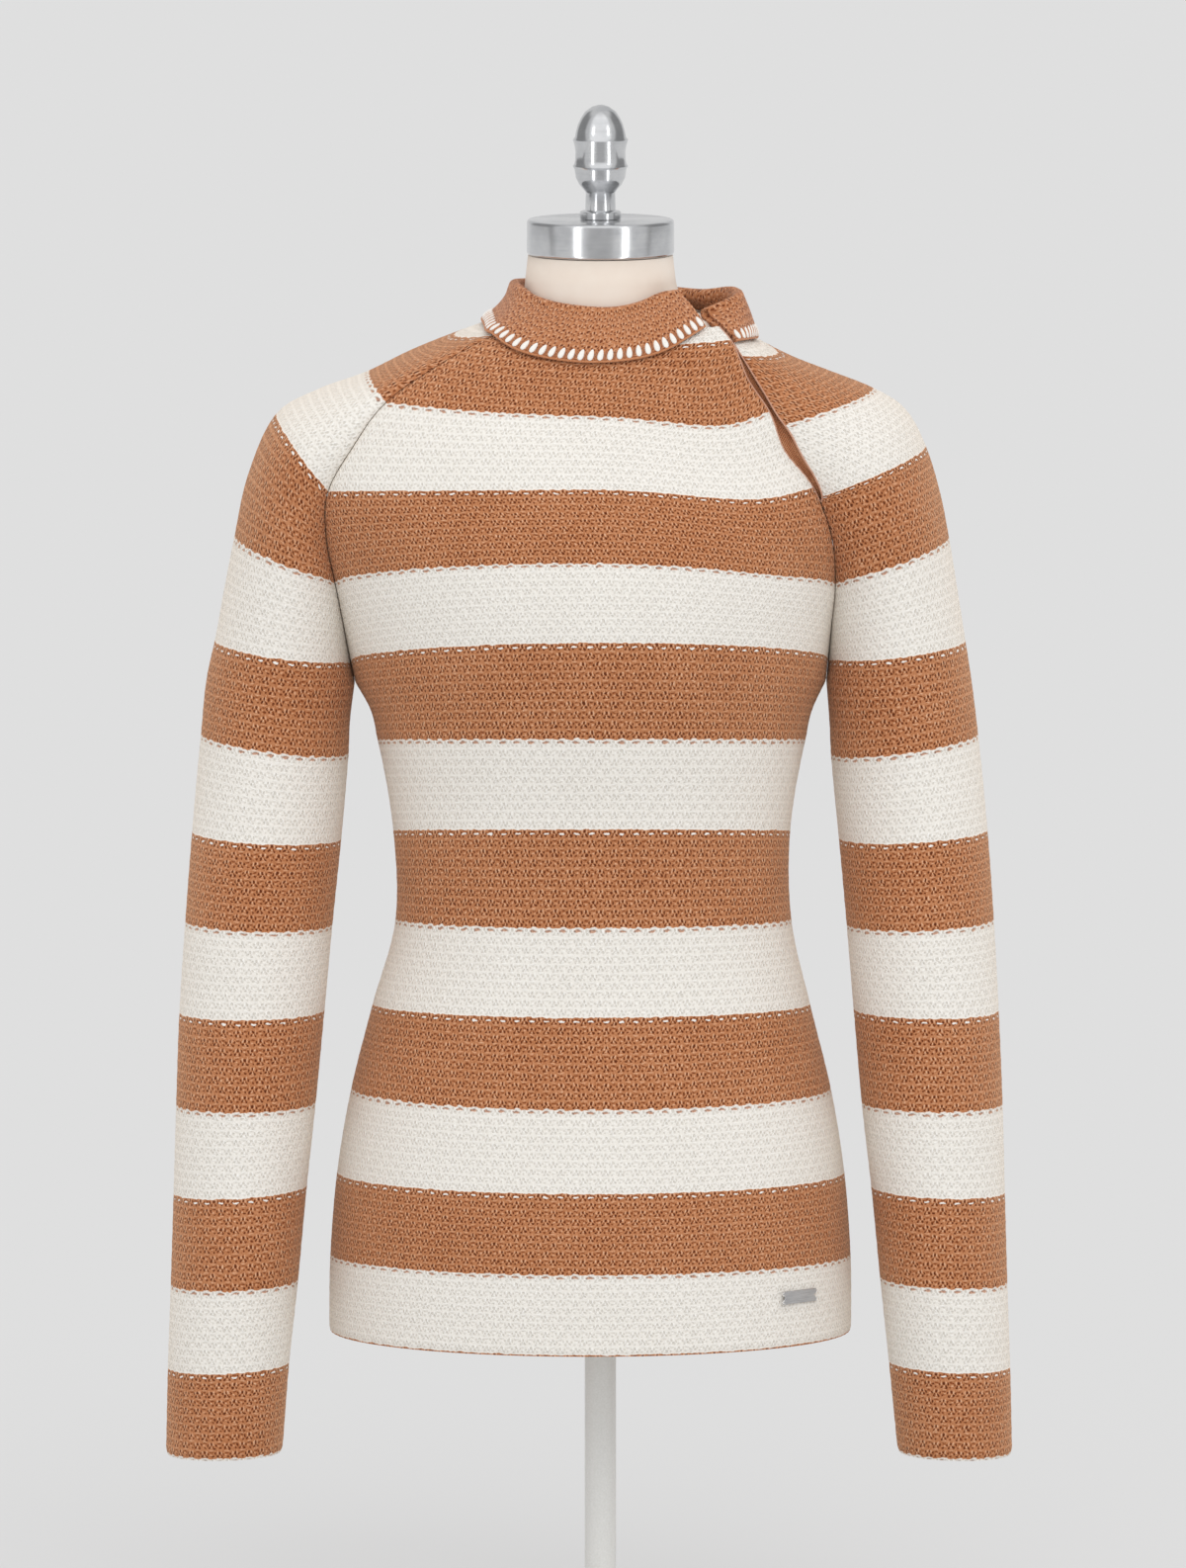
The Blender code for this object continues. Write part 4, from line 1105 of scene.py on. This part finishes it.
def sweater_panels(garment, material):
    """The four striped panels, and what the bindings need of them."""
    ring = math.ceil((UNDERARM - NECK_COURSE) * FINE_ROWS)
    return {
        name: knitted_panel(name, panel, columns, rings_from, material)
        for name, panel, columns, rings_from in (
            ("front", garment.front, BODY_FINE, None),
            ("back", garment.back, BODY_FINE, None),
            ("sleeve_right", garment.right, SLEEVE_FINE, ring),
            ("sleeve_left", garment.left, SLEEVE_FINE, ring),
        )
    }


def collar_lines(garment):
    """The collar's middle surface, row by row from its foot over the fold to its free edge."""
    quarters = (PANEL_COLUMNS, SLEEVE_COLUMNS, PANEL_COLUMNS, SLEEVE_COLUMNS)
    place = np.concatenate([n + np.arange(count) / count for n, count in enumerate(quarters)] + [[4.0]])
    foot = COLLAR.at("foot_place", place)
    neck, below = (garment.round_neck(foot, NECK_COURSE + down)[0] for down in (0, 0.2))
    upward = unit(neck - below)
    base = neck + upward * (CLEAR + SEAM_GAP / 2)
    turn = np.radians(COLLAR.at("fold_angle", place))
    outward = np.stack([-np.sin(turn), -np.cos(turn), 0 * turn], -1)
    up = np.array([0, 0, 1.0])
    fold = outward * COLLAR.at("fold_r", place)[:, None] + up * COLLAR.at("fold_z", place)[:, None]
    edge, edge_out = garment.round_neck(COLLAR.at("edge_place", place), COLLAR.at("edge_course", place))
    edge = edge + edge_out * (WALL / 2 + EDGE_CLEAR + COLLAR_WALL / 2)
    stand = fold - outward * FOLD_RADIUS
    section = [base, (base + stand) / 2]
    for degrees in (0, 45, 90, 135, 180):
        a = math.radians(degrees)
        section.append(fold - outward * FOLD_RADIUS * math.cos(a) + up * FOLD_RADIUS * math.sin(a))
    fall = section[-1]
    crown = outward * COLLAR.at("crown", place)[:, None]
    for share in (0.34, 0.68):
        section.append(fall + (edge - fall) * share + crown)
    section.append(edge)
    grid = np.stack(section)
    for count in (COLLAR_STEPS, COLLAR_ROWS):
        grid = grid.transpose(1, 0, 2)
        along = lengths(grid, 0).mean(1)
        grid = curve(along, grid, np.linspace(0, along[-1], count))
    return grid


def folded_collar(garment, knit_material, yarns):
    """The fold-over collar, its rolled edge, the whip stitches over that edge, and the strands
    that show between them. Returns the tree that lays a yarn along a line."""
    middle = collar_lines(garment)
    normals = unit(np.cross(np.gradient(middle, axis=1), np.gradient(middle, axis=0)))
    outer = middle + normals * COLLAR_WALL / 2
    inner = middle - normals * COLLAR_WALL / 2
    round_edge = lengths(middle, 1)[-1]
    from_edge = lengths(middle, 0)[-1] - lengths(middle, 0)
    u = np.broadcast_to(round_edge / CELL, from_edge.shape)
    maps = {
        "knit": np.stack([u, -from_edge / ROW], -1),
        "edge": np.stack([np.broadcast_to(round_edge / WHIP_PITCH - 0.5, from_edge.shape), from_edge], -1),
    }
    made = cloth("folded_collar", outer, inner, 1, knit_material, ("collar",), maps)
    along_edge, stitches = yarn_tree(), stitch_tree()
    edge = middle[-1] + normals[-1] * COLLAR_WALL * ROLL_OUT
    joined = chain(len(edge))
    roll = grown("collar_rolled_edge", along_edge, edge, joined, {}, yarns["brown"], Radius=COLLAR_ROLL)

    def row_of_yarn(shift, above, lift):
        """Middles of yarns, WHIP_PITCH apart from a shift in pitches on, and the ways they lie."""
        spots, headings, facings = [], [], []
        for k in range(int(round_edge[-1] / WHIP_PITCH - shift) + 1):
            column = np.interp((k + shift) * WHIP_PITCH, round_edge, np.arange(len(round_edge)))
            j = int(min(column, len(round_edge) - 2))
            share = column - j
            line, rise, facing = (
                grid[:, j] * (1 - share) + grid[:, j + 1] * share for grid in (outer, from_edge, normals)
            )
            low, spot, high, out = (
                np.array([np.interp(-h, -rise, values[:, n]) for n in range(3)])
                for h, values in (
                    (above - YARN_SPAN, line),
                    (above, line),
                    (above + YARN_SPAN, line),
                    (above, facing),
                )
            )
            spots.append(spot + unit(out) * lift)
            headings.append(unit(high - low))
            facings.append(unit(out))
        return spots, headings, facings

    whip_rows = [row_of_yarn(0.5, WHIP_ABOVE, WHIP_LIFT)]
    strand_rows = [row_of_yarn(shift, WHIP_ABOVE - STRAND_BELOW, -STRAND_SUNK) for shift in (0.93, 1.07)]
    for name, made_rows, colour, width, height, taper in (
        ("whip_stitches", whip_rows, "white", WHIP_WIDTH, WHIP_HEIGHT, WHIP_TAPER),
        ("collar_strands", strand_rows, "brown", STRAND_WIDTH, STRAND_HEIGHT, 0.0),
    ):
        spots, headings, facings = (sum(parts, []) for parts in zip(*made_rows))
        ways = {"heading": headings, "facing": facings}
        sizes = {"Width": width, "Height": height, "Thickness": YARN_THICKNESS, "Taper": taper}
        grown(name, stitches, spots, [], ways, yarns[colour], **sizes)
    return along_edge


def ribbed_facing(garment, material):
    """The ribbed underlap behind the neck opening."""
    rows = slice(1, OPENING_ROWS + 1)
    below = FACING_CLEAR + FACING_WALL / 2

    def under(panel, edge, beside, reach):
        first, second = (
            panel.middle[rows, k] - panel.half[rows, k] - unit(panel.half[rows, k]) * below
            for k in (edge, beside)
        )
        return [first + unit(second - first) * reach, first]

    front = under(garment.front, -1, -2, UNDER_FRONT)
    sleeve = under(garment.left, 0, 1, UNDER_SLEEVE)
    grid = np.stack(front + sleeve[::-1], 1)
    keys = garment.front.courses[rows]
    fine = curve(keys, grid, np.linspace(keys[0], keys[-1], FACING_ROWS))
    middle = spread(fine, np.arange(float(FACING_ROWS)), np.linspace(0, 3, FACING_COLUMNS))
    normals = unit(np.cross(np.gradient(middle, axis=0), np.gradient(middle, axis=1)))
    if normals[FACING_ROWS // 2, FACING_COLUMNS // 2, 1] > 0:
        normals = -normals
    across, down = lengths(middle, 1), lengths(middle, 0)
    across = across - across.mean(1, keepdims=True)
    ribs = RIB_DEPTH * np.cos(math.tau * across / RIB_PITCH)
    outer = middle + normals * (FACING_WALL / 2 + ribs)[..., None]
    inner = middle - normals * FACING_WALL / 2
    maps = {"knit": np.stack([across / RIB_PITCH, down / RIB_KNOT], -1)}
    made = cloth("ribbed_facing", outer, inner, 1, material, ("opening_facing",), maps)


def opening_bindings(panels, tree, yarns):
    """A fine binding along each side of the neck opening."""
    last = round((OPENING_END - NECK_COURSE) * FINE_ROWS)
    front, sleeve = panels["front"][2], panels["sleeve_left"][2]
    for name, outer, edge, radius in (
        ("opening_binding_front", front, -1, BINDING_FRONT),
        ("opening_binding_sleeve", sleeve, 0, BINDING_SLEEVE),
    ):
        line = outer[: last + 1, edge]
        grown(name, tree, line, chain(len(line)), {}, yarns["binding"], Radius=radius)


def plate(garment, metal, tree, thread):
    """The small notched plate near the hem, left blank, with a stitch of thread at each corner."""
    centre = garment.front.surface(PLATE_COURSE, PLATE_ALONG)
    outward = garment.front.normals(PLATE_COURSE, PLATE_ALONG)
    beside = garment.front.surface(PLATE_COURSE, PLATE_ALONG + 0.02)
    along = unit(beside - centre)
    up = np.cross(outward, along)
    x, y = PLATE_LENGTH / 2, PLATE_WIDTH / 2
    end = [(x, y), (x, PLATE_NOTCH), (x - PLATE_NOTCH, 0), (x, -PLATE_NOTCH), (x, -y)]
    outline = end + [(-a, -b) for a, b in end]
    low = centre + outward * (WALL / 2 + PLATE_CLEAR)
    flat = np.array([low + along * a + up * b for a, b in outline])
    points = np.concatenate([flat, flat + outward * PLATE_THICKNESS])
    n = len(flat)
    faces = [list(range(n)), list(range(n, 2 * n))]
    faces += [[k, (k + 1) % n, n + (k + 1) % n, n + k] for k in range(n)]
    made = closed("notched_plate", points, faces, metal, ("sewn_plate",), smooth_angle=30)
    bevel = made.modifiers.new("worn_edges", "BEVEL")
    bevel.width = PLATE_WEAR * MM
    bevel.segments = 3
    bevel.limit_method = "ANGLE"
    points, edges = [], []
    for a, b in ((-1, -1), (-1, 1), (1, -1), (1, 1)):
        arc = []
        for t in np.linspace(0, math.pi, 9):
            side = a * (x - THREAD_INSIDE + THREAD_REACH * math.sin(t))
            rise = b * (y - THREAD_FROM_SIDE) + THREAD_HALF * math.cos(t)
            out = (PLATE_THICKNESS + THREAD_OVER) * (0.4 + 0.6 * abs(math.cos(t)))
            arc.append(low + along * side + up * rise + outward * out)
        edges += chain(len(arc), len(points))
        points += arc
    grown("plate_threads", tree, points, edges, {}, thread, Radius=THREAD_RADIUS)


# --- the form and its stand ---------------------------------------------------------------------


def turned(name, profile, material, stands_for, steps):
    """A piece turned about the Z axis, closed at both ends on the axis."""
    angle = np.arange(steps + 1) * math.tau / steps
    profile = np.array([(0.0, profile[0][1]), *profile, (0.0, profile[-1][1])])
    points = np.stack(
        [profile[:, :1] * np.cos(angle), profile[:, :1] * np.sin(angle), profile[:, 1:] + 0 * angle], -1
    )
    ids = np.arange(points[..., 0].size).reshape(len(profile), -1)
    same = ids.copy()
    same[:, -1] = same[:, 0]
    same[0] = same[0, 0]
    same[-1] = same[-1, 0]
    faces = [
        [corner for n, corner in enumerate(face) if same.flat[corner] != same.flat[face[n - 1]]]
        for face in quads(ids)
    ]
    return closed(name, points.reshape(-1, 3), faces, material, stands_for, None, same.ravel(), 40)


def rounded(profile, rounding, steps=6):
    """A profile with its corners rounded, as pairs of a radius and a height."""
    profile = [np.array(p, float) for p in profile]
    made = [profile[0]]
    for before, corner, after in zip(profile, profile[1:], profile[2:]):
        reach = min(rounding, np.linalg.norm(before - corner) * 0.45, np.linalg.norm(after - corner) * 0.45)
        start = corner + unit(before - corner) * reach
        end = corner + unit(after - corner) * reach
        for t in np.linspace(0, 1, steps):
            made.append(start * (1 - t) ** 2 + corner * 2 * t * (1 - t) + end * t * t)
    return made + [profile[-1]]


def drum(radius, low, high, rounding):
    """The profile of a flat-ended cylinder with rounded rims."""
    return rounded([(0, low), (radius, low), (radius, high), (0, high)], rounding)[1:-1]


def dress_form(canvas, brushed, polished, coat):
    """The torso, its metal cap and knob, and the stand."""
    low = NECK_TOP + CLEAR
    high = low + CAP_HEIGHT
    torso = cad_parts["form_torso"].data.copy()
    shape = bmesh.new()
    shape.from_mesh(torso)
    bmesh.ops.remove_doubles(shape, verts=shape.verts, dist=0.01 * MM)
    bmesh.ops.join_triangles(
        shape, faces=shape.faces, angle_face_threshold=0.6, angle_shape_threshold=0.8, cmp_seam=False
    )
    bmesh.ops.recalc_face_normals(shape, faces=shape.faces)
    shape.to_mesh(torso)
    shape.free()
    placed("canvas_torso", torso, canvas, ("form_torso",), 50)
    knob = [(r, high + CLEAR + z) for r, z in KNOB]
    top = FORM_BOTTOM - CLEAR
    under = top - FLANGE_HEIGHT
    pole = drum(POLE_RADIUS, FOOT_HEIGHT + CLEAR, under - CLEAR, POLE_ROUND)
    for name, profile, material, node_name, steps in (
        ("turned_cap", drum(CAP_RADIUS, low, high, CAP_ROUND), brushed, "neck_cap", 128),
        ("turned_knob", knob, polished, "finial", 96),
        ("round_foot", drum(FOOT_RADIUS, 0, FOOT_HEIGHT, FOOT_ROUND), coat, "stand_foot", 160),
        ("round_flange", drum(FLANGE_RADIUS, under, top, FLANGE_ROUND), coat, "stand_flange", 96),
        ("round_pole", pole, coat, "stand_pole", 64),
    ):
        turned(name, profile, material, (node_name,), steps)


# --- studio ---------------------------------------------------------------------------------------


def soft_light():
    """Even light all round. Metal mirrors two tall softboxes in front, which draw upright lines on
    it, darker walls between and beside them, and a lighter one above. The camera itself sees only
    a pale backdrop."""
    world = bpy.data.worlds.new("soft_light")
    world.use_nodes = True
    tree = world.node_tree
    tree.nodes.clear()
    way = node(tree, "ShaderNodeTexCoord").outputs["Generated"]
    way = node(tree, "ShaderNodeSeparateXYZ", [way])
    forward = node(tree, MATH, [way.outputs[1], -1.0], operation="MULTIPLY")
    turn = node(tree, MATH, [way.outputs[0], forward], operation="ARCTAN2")
    level = BASE_LIGHT
    for place, wide, low, high, soft, power in STUDIO_WALLS:
        middle = math.sin(math.radians((low + high) / 2))
        reach = math.sin(math.radians(high)) - middle
        edge = math.radians(soft)
        for at, centre, size in (
            (turn, math.radians(place), math.radians(wide)),
            (way.outputs[2], middle, reach),
        ):
            away = node(tree, MATH, [at, centre], operation="SUBTRACT")
            away = node(tree, MATH, [away], operation="ABSOLUTE")
            sizes = {"Value": away, "From Min": size + edge, "From Max": size}
            band = node(tree, "ShaderNodeMapRange", sizes, interpolation_type="SMOOTHSTEP")
            power = node(tree, MATH, [band, power], operation="MULTIPLY")
        level = node(tree, MATH, [power, level])
    rays = node(tree, "ShaderNodeLightPath")
    even, walls, backdrop = (
        node(tree, "ShaderNodeBackground", {"Color": linear(colour), "Strength": strength})
        for colour, strength in (("#FFFFFF", EVEN_LIGHT), ("#FFFFFF", level), (BACKDROP, 1.0))
    )
    room = node(tree, "ShaderNodeMixShader", [rays.outputs["Is Glossy Ray"], even, walls])
    both = node(tree, "ShaderNodeMixShader", [rays.outputs["Is Camera Ray"], room, backdrop])
    node(tree, "ShaderNodeOutputWorld", {"Surface": both})
    return world


def studio():
    """A pale floor, soft even light with a soft key in it, and the camera at the photograph's
    angle."""
    floor = bpy.data.meshes.new("floor")
    near, far = FLOOR_FRONT, FLOOR_REACH
    corners = [(-far, near, 0), (far, near, 0), (far, far, 0), (-far, far, 0)]
    floor.from_pydata(corners, [], [(0, 1, 2, 3)])
    floor.materials.append(matt_floor())
    added("floor", floor)

    bpy.context.scene.world = soft_light()
    key = bpy.data.lights.new("key", "SUN")
    key.energy = KEY_POWER
    key.angle = math.radians(KEY_SOFT_DEG)
    made = added("key", key)
    made.visible_glossy = False
    made.rotation_euler = (math.radians(90 - KEY_UP_DEG), 0, math.radians(KEY_ROUND_DEG))

    eye = bpy.data.cameras.new("camera")
    eye.lens = eye.sensor_width * CAMERA_AWAY / FRAME_HEIGHT
    eye.clip_end = SIGHT
    camera = added("camera", eye)
    tilt = math.radians(CAMERA_UP_DEG)
    away = (0, -CAMERA_AWAY * math.cos(tilt), CAMERA_AWAY * math.sin(tilt))
    camera.location = [(aim + off) * MM for aim, off in zip(AIM, away)]
    camera.rotation_euler = (math.radians(90) - tilt, 0, 0)
    bpy.context.scene.camera = camera
    bpy.context.scene.view_settings.view_transform = "Standard"


def dress():
    """Every piece, with its finish, on its body."""
    striped = striped_knit()
    yarns = {
        "white": yarn("white_cotton_yarn", "cream_knit", WHITE_TONES),
        "brown": yarn("brown_cotton_yarn", "brown_knit", BROWN_TONES),
        "binding": yarn("pinkish_cotton_binding", "brown_knit", BINDING_TONES),
    }
    brushed = turned_aluminium("brushed_turned_aluminium", 0.22, 0.7)
    polished = turned_aluminium("polished_turned_aluminium", 0.16, 0.0)
    garment = Garment()
    dress_form(sized_canvas(), brushed, polished, coated_steel())
    panels = sweater_panels(garment, striped)
    along_a_line = folded_collar(garment, purl_knit(), yarns)
    ribbed_facing(garment, ribbed_knit())
    opening_bindings(panels, along_a_line, yarns)
    plate(garment, stamped_plate(), along_a_line, yarns["white"])


dress()
studio()
